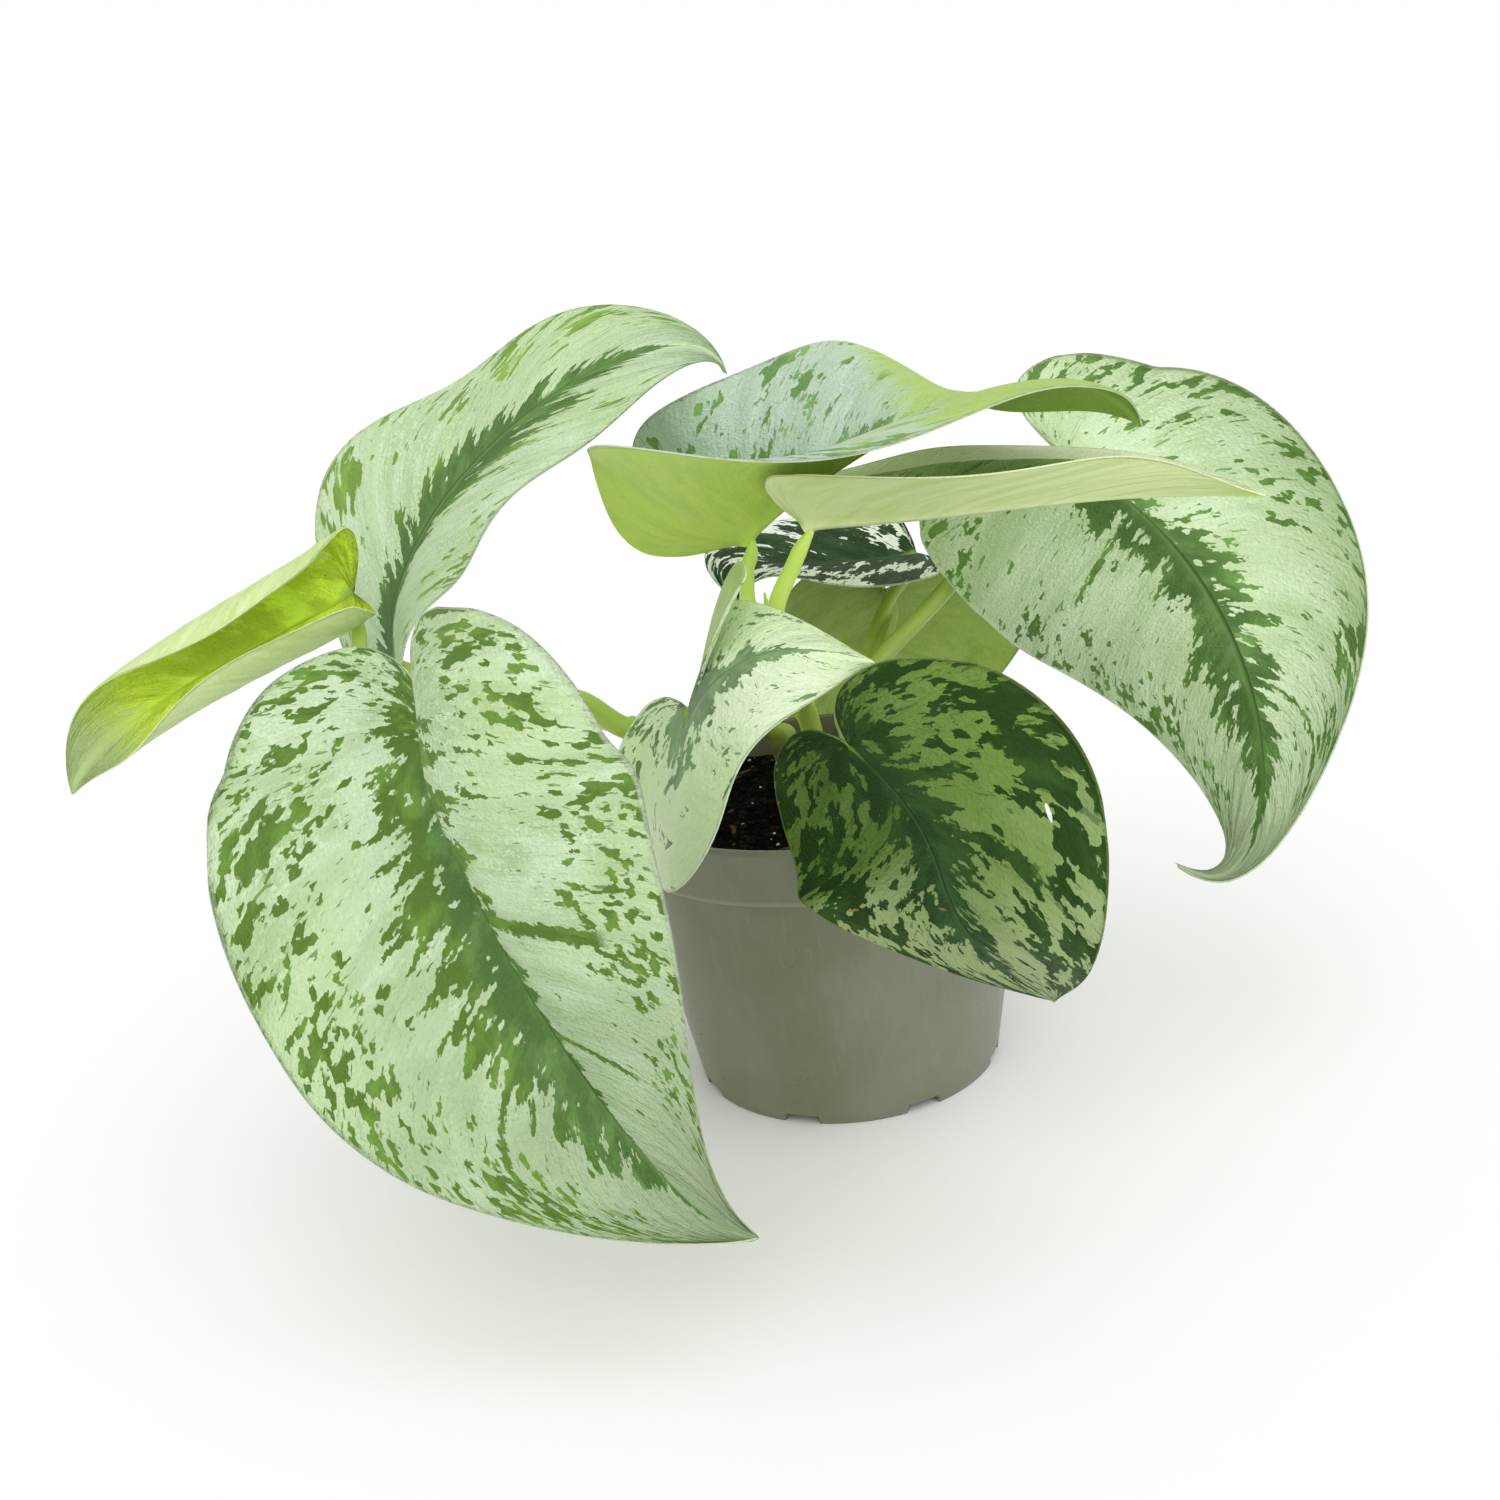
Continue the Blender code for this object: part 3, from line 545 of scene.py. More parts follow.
# A closed thin shell: upper and lower sheets of one grid, whose rows run from the midrib to the margin as the
# side veins do, and a rounded rim between them
def makeLeaf(node, shape, look):
    rows, half = leafBuild["rows"], leafBuild["halfColumns"]
    columns = 2 * half + 1
    baseShare = leafBuild["baseShare"]
    right, left = (halfOutline(lobe, shape["taper"], rows) for lobe in shape["lobes"])
    across = np.linspace(-1, 1, columns)[None, :]
    share = np.linspace(0, 1, rows)[:, None]
    spine = spineOf(shape)
    length = spine[0][-1]
    root = np.clip((share - baseShare) / (1 - baseShare), 0, 1)**0.9
    edgeX = np.where(across > 0, right[:, :1], left[:, :1])
    edgeY = np.where(across > 0, right[:, 1:], left[:, 1:])
    x = (root * (1 - np.abs(across)) + edgeX * np.abs(across)) * length
    y = edgeY * shape["width"] / 2 * across
    isRight = np.broadcast_to(across >= 0, x.shape)
    middle = bladePoints(shape, spine, x, y, isRight)
    normals = bladeNormals(shape, spine, x, y, isRight)
    other = bladeNormals(shape, spine, x[:, half], y[:, half], np.zeros(rows, bool))
    normals[:, half] = unit(normals[:, half] + other)

    out = np.abs(across) + 0 * share
    away = np.abs(y)
    fade = 1 - share * 0.75  # grooves and ribs get fainter towards the tip
    sheet = leafBuild["thickness"] + (leafBuild["marginThickness"] - leafBuild["thickness"]) * out**2
    vein = share * (1 - leafBuild["veinLean"] * out)
    veins = leafBuild["veinRelief"] * veinWave(vein, out)
    groove = leafBuild["grooveDepth"] * np.exp(-(away / leafBuild["grooveWidth"])**2) * fade
    swell = 1 + leafBuild["ribSwell"] * np.exp(-np.hypot(x, y) / leafBuild["swellReach"])
    rib = leafBuild["ribHeight"] * swell * np.exp(-(away / leafBuild["ribWidth"] / swell)**2) * fade
    upper = middle + normals * (sheet / 2 - groove - veins)[..., None]
    lower = middle - normals * (sheet / 2 + rib + veins * 0.7)[..., None]
    margins = middle[:, [0, -1]]
    rim = margins + unit(margins - middle[:, [1, -2]]) * leafBuild["rimBulge"]
    points = np.concatenate([upper.reshape(-1, 3), lower.reshape(-1, 3), rim.reshape(-1, 3)])
    low, high = (np.array(corner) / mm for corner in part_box(node))
    points = np.clip(points, low, high)

    # All rows meet at the petiole, and the first and last rows close at the midrib
    count = rows * columns
    index = np.arange(count).reshape(rows, columns)
    index[0, :] = index[0, half]
    index[-1, :] = index[-1, half]
    index[:int(baseShare * (rows - 1)) + 1, half] = index[0, half]
    merged = np.concatenate([index.ravel(), count + index.ravel(), 2 * count + np.arange(2 * rows)])
    corners, isUnder = leafFaces(rows, columns)
    keep = isWhole(merged[corners])
    corners, faces = corners[keep], merged[corners][keep]

    # Flat and vein places are in cm; rim points take those of the margin
    margin = length * leafBuild["marginStretch"] / 10
    flat = np.stack([x / 10, y / 10], -1)
    along = np.stack([vein * np.where(isRight, 1, -1) * margin, out * shape["width"] / 20], -1)
    shares = np.stack([share + 0 * out, out], -1)
    rimRows = np.repeat(np.arange(rows), 2) * columns + np.tile([0, columns - 1], rows)
    uvs = []
    for name, values in (("flat", flat), ("vein", along), ("share", shares)):
        values = values.reshape(-1, 2)
        uvs.append((name, np.concatenate([values, values, values[rimRows]])[corners]))
    points, faces = compact(points, faces)
    look = dict(look, half=shape["width"] / 20, margin=margin)
    materials = [upperFinish(node, look), underFinish(node, look)]
    name = node.replace("leaf", "blade")
    slotName = "leaf_dark" if "dark" in node else "leaf_pale"
    return makePiece(name, points * mm, faces, materials, [node], uvs, isUnder[keep])


# Where the dark marks are. The blade is cut into small cells drawn out along the veins, and each cell is
# wholly dark or pale: dark where flecks gather, or where it lies nearer the midrib than the band is wide.
def leafFields(paint, look):
    step, most, noiseOn = paint.step, paint.most, paint.noiseOn
    flatX, flatY = paint.uv("flat")
    veinX, veinY = paint.uv("vein")
    share, out = paint.uv("share")
    seed = look["seed"]
    isRight = step(flatY, -0.001, 0.001)
    wobble = noiseOn(veinX * 7, veinY * 4, seed, 3.0) - 0.5
    sway = noiseOn(veinX * 7, veinY * 4, seed + 2, 3.0) - 0.5
    cellX, cellY = paint.cellPlace(veinX + wobble * 0.14, veinY + sway * 0.30, *markBuild["cells"])
    fineX, fineY = paint.cellPlace(veinX + wobble * 0.09, veinY + sway * 0.18, *markBuild["fineCells"])

    # The band: its width comes from the stripe's stops, and its edge is torn by the cells
    stops = [(place, (toRight, toLeft, 0)) for place, toRight, toLeft in look["stripe"]]
    toRight, toLeft, _ = paint.split(paint.add("ShaderNodeValToRGB", dict(stops=stops), (share,)))
    width = (toRight * isRight + toLeft * (1 - isRight)) * look["half"]
    teeth = noiseOn(cellX * 2.6, cellY * 0.35, seed + 5)
    tears = noiseOn(fineX * 6.0, fineY * 0.8, seed + 7)
    ragged = step(teeth, 0.3, 0.7) * 1.15 + (tears - 0.5) * 1.9 + 0.4
    band = step(width * ragged - fineY, -0.006, 0.006)
    heartRight, heartLeft = look["heart"]
    heart = (isRight * (heartRight - heartLeft) + heartLeft) * (teeth * 0.8 + tears * 1.2)
    near = (flatX * flatX + flatY * flatY) ** 0.5
    band = most(band, step(heart - near, -0.015, 0.015))
    holes = noiseOn(fineX * 4.5, fineY * 1.6, seed + 17, 1.0, 0.5)
    band = band * (1 - step(holes, markBuild["holes"], markBuild["holes"] + 0.01)
                   * step(fineY, 0.15, 0.35))

    # Flecks where three sizes of noise, raised by the cover, pass a level; then scratches and dark side veins
    big = noiseOn(cellX * 2.7, cellY * 1.15, seed + 9, 2.0, 0.55, look["fleck"])
    small = noiseOn(cellX * 6.0, cellY * 2.3, seed + 13, 2.0, 0.6, look["fleck"])
    torn = noiseOn(fineX * 7.0, fineY * 1.3, seed + 15)
    patch = noiseOn(flatX * 0.42, flatY * 0.42, seed + 19, 1.0, 0.5) - 0.5
    inner, outer = look["cover"]
    lean = (isRight * 2 - 1) * look["lean"]
    cover = step(out, 0.3, 0.85) * (outer - inner) + patch * 0.7 + lean + inner
    field = big * 0.5 + small * 0.3 + torn * 0.2
    mark = step(field + cover * 0.26 - markBuild["fleckLevel"], -0.002, 0.004)
    scratch = noiseOn(veinX * 13, veinY * 1.9, seed + 21, 2.0, 0.55, 1.0, 0.3)
    scratchLevel = markBuild["scratchLevel"]
    scratch = step(scratch + cover * 0.1, scratchLevel, scratchLevel + 0.015) * look["scratch"]
    marks = most(most(mark, band), scratch)
    for side, start, reach, slant, thick in look["branches"]:
        line = abs(fineX * side - start * look["margin"] - fineY * slant - sway * 0.3)
        near = step(thick * (0.4 + tears * 1.3) - line, -0.01, 0.01)
        marks = most(marks, near * (1 - step(fineY, reach * 0.9, reach)))
    return dict(flatX=flatX, flatY=flatY, veinX=veinX, veinY=veinY, share=share, out=out, band=band,
                marks=marks, away=abs(flatY), isRight=isRight)


# The colour made lighter or darker, kept under full white
def tinted(colour, gain, lift=0.0):
    return tuple(min(1.0, value * gain + lift) for value in colour)


# Silver ground in shades that follow the veins, partly a painted shade of the blade's corrugation; the marks
# on it, the tip, the margin and the petiole's spot
def upperFinish(node, look):
    paint = Paint(node + "_upper")
    mix, step, most, noiseOn = paint.mix, paint.step, paint.most, paint.noiseOn
    f = leafFields(paint, look)
    veinX, veinY, flatX, flatY, seed = f["veinX"], f["veinY"], f["flatX"], f["flatY"], look["seed"]
    grain = noiseOn(veinX * 2.6, veinY * 0.5, seed + 20, 3.0)
    cloud = noiseOn(flatX * 0.5, flatY * 0.5, seed + 24, 2.0, 0.5)
    fine = noiseOn(flatX, flatY, seed + 28, scale=13.0)
    streak = noiseOn(veinX * 11, veinY * 1.4, seed + 29)
    ridge = noiseOn(veinX * 1.6, veinY * 0.2, seed + 35, 1.0, 0.5)
    sun = noiseOn(flatX * 0.35, flatY * 0.35, seed + 27, 1.0, 0.5)
    tone = noiseOn(veinX * 1.8, veinY * 0.9, seed + 31, 3.0)

    shade, bright = look["silverShade"], tinted(look["silver"], 1.16, 0.03)
    silver = mix(step(grain * 0.5 + cloud * 0.5, 0.43, 0.63), look["silver"], shade)
    silver = mix(step(fine * 0.55 + streak * 0.45, 0.47, 0.62) * 0.65, silver, bright)
    silver = mix(step(streak, 0.56, 0.72) * 0.3, silver, shade)
    # Yellower near the margin; on leaf_right darker, a painted shade where the blade turns away from the
    # light
    silver = mix(step(sun + f["out"] * 0.12, 0.5, 0.72) * 0.45, silver, look["warmAndShade"])
    # Painted shade: darker bands at the vein ridges, the shading of the blade's corrugation
    silver = mix(step(ridge, 0.50, 0.66) * 0.55, silver, shade)
    # Towards the tip; on leaf_front_left and leaf_right a darker ground, a painted shade where the blade
    # turns away
    if "tipToneAndShade" in look:
        toTip = step(f["share"] + (cloud - 0.5) * 0.4, *look["tipFrom"])
        silver = mix(toTip, silver, look["tipToneAndShade"])
    dark = mix(step(tone, 0.44, 0.66), look["dark"], tinted(look["dark"], 1.55, 0.006))
    stripe = tinted(look["stripeColour"], 1.5, 0.01)
    stripe = mix(step(tone, 0.42, 0.66), look["stripeColour"], stripe)
    dark = mix(f["band"] * (1 - step(f["away"], 0.5, 1.4)), dark, stripe)
    colour = mix(f["marks"], silver, dark)
    colour = mix(step(f["share"] + (tone - 0.5) * 0.2, *look["tip"]), colour, look["tipColour"])
    # The pale margin; on leaf_half_rolled it is wide and bright, a painted light
    edge = step(f["out"], look["edge"], look["edge"] + 0.014)
    colour = mix(edge * 0.7, colour, look["edgeColourAndLight"])
    for side, place, out, long, wide, shade in look["scars"]:
        along = (f["share"] - place) * (look["margin"] / long)
        over = (f["out"] - out) * (look["half"] / wide)
        spot = 1 - step(along * along + over * over + (fine - 0.5) * 1.2, 0.8, 1.2)
        colour = mix(spot * (f["isRight"] if side > 0 else 1 - f["isRight"]), colour, shade)
    ribLine = (1 - step(f["away"], 0.02, 0.06)) * (1 - f["share"])
    joint = 1 - step(f["away"] * 2.2 + abs(flatX), 0.1, 0.7)
    colour = mix(most(ribLine * 0.2, joint * 0.85), colour, markBuild["jointColour"])
    # The two halves' reliefs differ, so both end level with each other at the midrib
    relief = fine * 0.5 + grain * 0.7 + streak * 0.5 + cloud * 0.8 + ridge * 1.3 - 1.9
    relief = relief * step(f["away"], 0.01, 0.25)
    rough = f["marks"] * 0.06 + (fine - 0.5) * 0.15 + look["rough"]
    return paint.finish(colour, rough, look["gloss"], paint.bump(relief, 0.0011))


# Plain green with a soft mottle, a faint print of the marks, and a paler rib and margin
def underFinish(node, look):
    paint = Paint(node + "_under")
    mix, step, most, noiseOn = paint.mix, paint.step, paint.most, paint.noiseOn
    f = leafFields(paint, look)
    grain = noiseOn(f["veinX"] * 2.5, f["veinY"] * 0.6, look["seed"] + 40, 3.0)
    mottle = step(grain, 0.40, 0.66) * 0.5 + f["marks"] * look["showThrough"]
    colour = mix(mottle, look["under"], look["underMark"])
    colour = mix(step(f["share"], *look["tip"]), colour, look["tipColour"])
    fine = noiseOn(f["flatX"], f["flatY"], look["seed"] + 44, scale=10.0)
    pale = tinted(look["under"], 1.25, 0.05)
    colour = mix(step(fine, 0.55, 0.8) * 0.3, colour, pale)
    rib = (1 - step(f["away"], 0.06, 0.16)) * (1 - f["share"] * 0.7)
    edge = step(f["out"], 0.975, 0.99)
    colour = mix(most(rib * 0.6, edge * 0.5), colour, pale)
    relief = (grain - 0.5) * step(f["away"], 0.01, 0.25) + fine * 0.3
    return paint.finish(colour, 0.45, 0.25, paint.bump(relief, 0.0007))


for node, shape in leafShapes.items():
    makeLeaf(node, shape, dict(paleLook, **leafLooks[node]))
print("leaves made:", len(leafShapes))


# The stems

stemBuild = dict(
    foot=49.7,  # where the shoots end in the soil, mm
    trunk=3.1,  # a shoot's radius in the soil
    tip=0.75,  # a petiole's radius at its end in the blade's rib
    voxel=0.42,  # mm, of the joined skin
    colour=(0.58, 0.74, 0.15), shade=(0.42, 0.60, 0.10), streak=(0.66, 0.76, 0.30),
    brown=(0.16, 0.11, 0.05), bark=(0.30, 0.33, 0.10),
    barkBelow=(0.082, 0.094),  # m; between these heights the green turns to bark
)

# One entry for each shoot. Foot: its place in the soil. Gain: how light its green is, a painted light and
# shade: lighter on the centre shoot and darker on the right one, for how the light falls on each. Knots: the
# swollen nodes, as a place and a radius. Runs: routes of places with a radius, and the leaf each one carries;
# mm.
stemRuns = {
    "stem_left": dict(
        foot=(-8, 16), gain=1.0,
        knots=((-8, 16, 86, 3.7), (-46, -14, 102, 3.3), (-72, -38, 118, 3.3)),
        runs=(
            (None, ((-8, 16, 80, 3.0), (-12, 11, 91, 2.9), (-27, -1, 97, 2.8), (-46, -14, 102, 2.8),
                    (-58, -24, 114, 2.8), (-72, -38, 118, 2.7))),
            ("leaf_rolled_left", ((-72, -38, 118, 2.5), (-86, -48, 110, 2.3), (-98, -46, 115, 2.2),
                                  (-105, -34, 128, 2.0))),
            ("leaf_back_left", ((-46, -14, 102, 2.2), (-60, -8, 106, 2.0), (-80, -8, 114, 2.0),
                                (-91, -12, 119, 1.9))),
            ("leaf_front_left", ((-72, -38, 118, 2.4), (-74, -55, 125, 2.2), (-78, -74, 128, 2.0))),
        )),
    "stem_centre": dict(
        foot=(0, 4), gain=1.3,
        knots=((0, 4, 86, 3.7), (-3, -8, 104, 3.0)),
        runs=(
            (None, ((0, 4, 80, 3.0), (-1, 2, 92, 2.8), (-3, -8, 104, 2.6))),
            ("leaf_centre_top", ((-1, 2, 92, 2.3), (-6, 0, 105, 2.1), (-13, -5, 125, 2.0),
                                 (-13, -4, 136, 1.9))),
            ("leaf_half_rolled", ((-3, -8, 104, 2.4), (-8, -20, 122, 2.3), (-7, -22, 131, 2.2),
                                  (-2, -22, 140, 2.0))),
            ("leaf_twisted", ((-3, -8, 104, 2.4), (-8, -16, 103, 2.1), (-20, -38, 113, 2.0),
                              (-25, -50, 117, 1.9))),
            (None, ((-8, -18, 118, 1.5), (-9, -14, 124, 1.3), (-9.5, -15, 133, 0.4))),
        )),
    "stem_right": dict(
        foot=(12, 14), gain=0.8,
        knots=((12, 14, 86, 3.7), (15, 12, 96, 3.3)),
        runs=(
            (None, ((12, 14, 80, 3.0), (12, 14, 90, 2.9), (15, 12, 96, 2.8))),
            ("leaf_front_dark", ((15, 12, 96, 2.3), (8, -2, 97, 2.2), (6, -20, 100, 2.1), (5, -45, 105, 2.0),
                                 (4, -72, 110, 1.9))),
            ("leaf_right", ((15, 12, 96, 2.6), (20, 17, 104, 2.5), (39, 23, 119, 2.4), (56, 25, 136, 2.3),
                            (70, 20, 147, 2.0))),
            ("leaf_back_dark", ((15, 12, 96, 2.2), (17, 25, 103, 2.0), (26, 42, 114, 1.9))),
            ("leaf_back_hanging", ((15, 12, 96, 2.2), (20, 22, 104, 2.0), (25, 36, 109, 1.9),
                                   (27, 44, 110, 1.8))),
        )),
}


# A ring of the route's radius is carried along its Catmull-Rom curve without turning; both ends are capped
def tubeMesh(route, sides=20, step=0.9):
    smooth = through(route, 10)
    run = runAlong(smooth[:, :3])
    path = valuesAt(np.linspace(0, run[-1], max(4, int(run[-1] / step))), run, smooth)
    centre, radius = path[:, :3], path[:, 3]
    forward = unit(np.gradient(centre, axis=0))
    side = carried(unit(np.cross(forward[0], (0.3, 0.5, 0.81))), forward)
    other = np.cross(forward, side)
    angle = np.linspace(0, 2 * math.pi, sides, endpoint=False)[None, :, None]
    around = np.cos(angle) * side[:, None] + np.sin(angle) * other[:, None]
    rings = centre[:, None] + radius[:, None, None] * around
    points = np.concatenate([rings.reshape(-1, 3), centre[:1], centre[-1:]])
    grid = np.arange(len(path) * sides).reshape(len(path), sides)
    ahead = np.roll(grid, -1, axis=1)
    walls = triangles(grid[:-1], ahead[:-1], ahead[1:], grid[1:])
    first, last = np.full(sides, len(points) - 2), np.full(sides, len(points) - 1)
    caps = [np.stack([first, ahead[0], grid[0]], -1), np.stack([last, grid[-1], ahead[-1]], -1)]
    return points, np.concatenate([walls, *caps])


# The last two points of a petiole: it leaves its route's last point and runs into the blade's rib, at a depth
# that grows with how far the two halves of the blade droop
def petioleEnd(leafName, last):
    shape = leafShapes[leafName]
    _, points, forward, sides, normals = spineOf(shape)
    right, left = np.radians(shape["fold"][0]), np.radians(shape["fold"][2])
    rightWay = sides[0] * math.cos(right) + normals[0] * math.sin(right)
    leftWay = normals[0] * math.sin(left) - sides[0] * math.cos(left)
    up = unit(np.cross(unit(rightWay - leftWay), forward[0]))
    droop = math.radians(max(0, -(shape["fold"][0] + shape["fold"][2]) / 2))
    depth = (0.35 + 1.0 * math.sin(droop)) / math.cos(droop)
    bend = np.array(last[:3]) * 0.4 + points[0] * 0.6 - up * 1.3
    end = points[0] + forward[0] * 1.5 - up * (depth + 0.6)
    return (*bend, 1.8), (*end, stemBuild["tip"])


# A round swelling, a little longer than wide
def ballMesh(place, rings=10, sides=16):
    x, y, z, radius = place
    polar = np.linspace(0, math.pi, rings)[:, None]
    turn = np.linspace(0, 2 * math.pi, sides, endpoint=False)[None, :]
    points = np.stack([x + radius * np.sin(polar) * np.cos(turn), y + radius * np.sin(polar) * np.sin(turn),
                       z + 1.1 * radius * np.cos(polar) + 0 * turn], -1)
    return points.reshape(-1, 3), turnedFaces(rings, sides)


# Several meshes as one: their points one after another, and their faces moved up to match
def joinMeshes(parts):
    starts = np.cumsum([0] + [len(points) for points, _ in parts[:-1]])
    faces = [faces + start for (_, faces), start in zip(parts, starts)]
    return np.concatenate([points for points, _ in parts]), np.concatenate(faces)


# Green with pale streaks, and bark near the soil; the gain lightens or darkens the green as painted light and
# shade
def stemFinish(name, gain):
    paint = Paint(name)
    mix, step, noise = paint.mix, paint.step, paint.noise
    place = paint.place()
    streak = noise(place, 90.0, 3.0, 0.6, 0.6)
    cloud = noise(place, 28.0, 2.0, 0.5)
    green, shade, pale = (tinted(stemBuild[key], gain) for key in ("colour", "shade", "streak"))
    colour = mix(step(cloud, 0.35, 0.68), green, shade)
    colour = mix(step(streak, 0.58, 0.75) * 0.35, colour, pale)
    height = paint.split(place)[2]
    low = 1 - step(height, *stemBuild["barkBelow"])
    bark = mix(step(streak, 0.4, 0.6), stemBuild["brown"], stemBuild["bark"])
    colour = mix(low * 0.85, colour, bark)
    return paint.finish(colour, 0.38, 0.45, paint.bump(streak, 0.0004))


# The object's mesh becomes what its modifiers make of it
def applyModifiers(obj):
    graph = bpy.context.evaluated_depsgraph_get()
    mesh = bpy.data.meshes.new_from_object(obj.evaluated_get(graph))
    obj.modifiers.clear()
    obj.data = mesh
    mesh.shade_smooth()
    return mesh


# Joins the shells of a stem into one skin and softens where they meet
def fuse(obj):
    remesh = obj.modifiers.new("skin", "REMESH")
    remesh.mode = "VOXEL"
    remesh.voxel_size = stemBuild["voxel"] * mm
    remesh.use_smooth_shade = True
    smooth = obj.modifiers.new("soften", "SMOOTH")
    smooth.factor = 0.5
    smooth.iterations = 5
    applyModifiers(obj)


for node, stem in stemRuns.items():
    x, y = stem["foot"]
    trunk = stemBuild["trunk"]
    parts = [tubeMesh(((x, y, stemBuild["foot"] + 0.3, trunk), (x, y, 70, trunk), (x, y, 88, 3.0)))]
    for leafName, route in stem["runs"]:
        end = petioleEnd(leafName, route[-1]) if leafName else ()
        parts.append(tubeMesh((*route, *end)))
    parts += [ballMesh(knot) for knot in stem["knots"]]
    points, faces = joinMeshes(parts)
    skin = stemFinish(node + "_skin", stem["gain"])
    piece = makePiece(node.replace("stem", "shoot"), points * mm, faces, [skin], [node])
    fuse(piece)
    print(piece.name, "fused:", len(piece.data.polygons), "faces")


# The soil

soilBuild = dict(
    rings=110, spokes=360,  # of the surface
    top=71.0, edge=52.5,  # mm: height and radius of the surface
    mound=7.0, centre=(0.0, 15.0), moundRadius=25.0,
    relief=1.1, grain=0.9,  # of the long lumps and of the clods
    clods=((3.4, 1.0), (1.7, 0.8), (0.85, 0.5)),  # size in mm, and height
    side=((52.5, 68.0), (52.3, 66.8), (50.4, 64.7), (39.4, 4.4), (0.0, 4.4)),  # radius and height below it
    sink=0.4,  # the bed lies this much lower than the plain height
    crumbReach=51.0, crumbLimit=52.3,  # the radius that crumbs are strewn in, and that none passes
    clearance=4.5,  # from a shoot's axis
    darkPeat=(0.0015, 0.0011, 0.0009), peat=(0.010, 0.007, 0.005), fibre=(0.035, 0.022, 0.012),
    seed=11,
)

# Loose crumbs: how many, size from and to in mm, how long for their size, and darkest and palest colour
crumbKinds = (
    dict(count=900, size=(0.4, 1.3), long=1.15, colours=((0.004, 0.003, 0.002), (0.022, 0.015, 0.010))),
    dict(count=60, size=(0.5, 1.2), long=1.9, colours=((0.045, 0.028, 0.014), (0.16, 0.10, 0.05))),
    dict(count=70, size=(0.25, 0.6), long=1.15, colours=((0.55, 0.53, 0.47), (0.85, 0.83, 0.78))),
)


# Random heights on a square lattice of that cell, blended smoothly between its corners
def latticeNoise(x, y, cell, seed):
    size = 64
    values = np.random.default_rng(seed).random((size, size))
    u, v = x / cell, y / cell
    i, j = np.floor(u).astype(int), np.floor(v).astype(int)
    s, t = u - i, v - j
    s, t = s * s * (3 - 2 * s), t * t * (3 - 2 * t)
    here, ahead, side, beyond = (
        values[(i + di) % size, (j + dj) % size] for di, dj in ((0, 0), (1, 0), (0, 1), (1, 1)))
    return (here * (1 - s) + ahead * s) * (1 - t) + (side * (1 - s) + beyond * s) * t - 0.5


# The bed's plain height, as in the CAD: level, a mound at the stems as exp(-distance^2), and long lumps
def soilHeight(x, y):
    b = soilBuild
    away = np.hypot(x - b["centre"][0], y - b["centre"][1]) / b["moundRadius"]
    lumps = np.sin(x / 4.1 + 1.3 * np.sin(y / 6.3)) * np.cos(y / 3.7 + 0.8 * np.sin(x / 5.2))
    return b["top"] + b["mound"] * np.exp(-away**2) + b["relief"] * lumps


# The clods: a few sizes of lattice noise added up
def soilGrains(x, y):
    total = 0
    for seed, (cell, height) in enumerate(soilBuild["clods"], 1):
        total = total + height * latticeNoise(x, y, cell, seed)
    return total * soilBuild["grain"]


# A disc of rings and spokes raised to the soil's height, with its side and flat bottom turned below
def makeSoil():
    b = soilBuild
    radius = b["edge"] * np.linspace(0, 1, b["rings"])[:, None]
    turn = np.linspace(0, 2 * math.pi, b["spokes"], endpoint=False)[None, :]
    x, y = radius * np.cos(turn), radius * np.sin(turn)
    calm = np.clip((b["edge"] - radius) / 3, 0.25, 1)  # the clods are lower near the pot's wall
    z = np.minimum(soilHeight(x, y) + soilGrains(x, y) * calm - b["sink"], b["top"] + 8)
    for r, h in b["side"]:
        x = np.vstack([x, r * np.cos(turn)])
        y = np.vstack([y, r * np.sin(turn)])
        z = np.vstack([z, np.full((1, b["spokes"]), h)])
    z[0] = z[0].mean()
    points, faces = compact(np.stack([x, y, z], -1).reshape(-1, 3), turnedFaces(*z.shape))
    return makePiece("soil_bed", points * mm, faces, [soilFinish()], ["soil"])


# Nearly black peat with brown fibres
def soilFinish():
    paint = Paint("peat")
    mix, step, noise = paint.mix, paint.step, paint.noise
    place = paint.place()
    clods = noise(place, 900.0, 4.0, 0.65, 0.4)
    fibres = noise(place, 350.0, 3.0, 0.6, 2.0)
    colour = mix(step(clods, 0.35, 0.7), soilBuild["darkPeat"], soilBuild["peat"])
    colour = mix(step(fibres, 0.60, 0.72) * 0.8, colour, soilBuild["fibre"])
    return paint.finish(colour, 0.95, 0.04, paint.bump(clods + fibres, 0.0012))


# Dark crumbs at tint 0, bark at 0.5 and white perlite at 1
def crumbFinish():
    paint = Paint("crumbs")
    mix, step, noise = paint.mix, paint.step, paint.noise
    tint = paint.add("ShaderNodeAttribute", dict(attribute_name="tint"), output="Fac")
    grit = noise(paint.place(), 1200.0, 3.0, 0.6)
    dark, bark, white = (mix(grit, *kind["colours"]) for kind in crumbKinds)
    colour = mix(step(tint, 0.2, 0.3), dark, bark)
    colour = mix(step(tint, 0.7, 0.8), colour, white)
    return paint.finish(colour, 0.9, 0.08, paint.bump(grit, 0.0004))


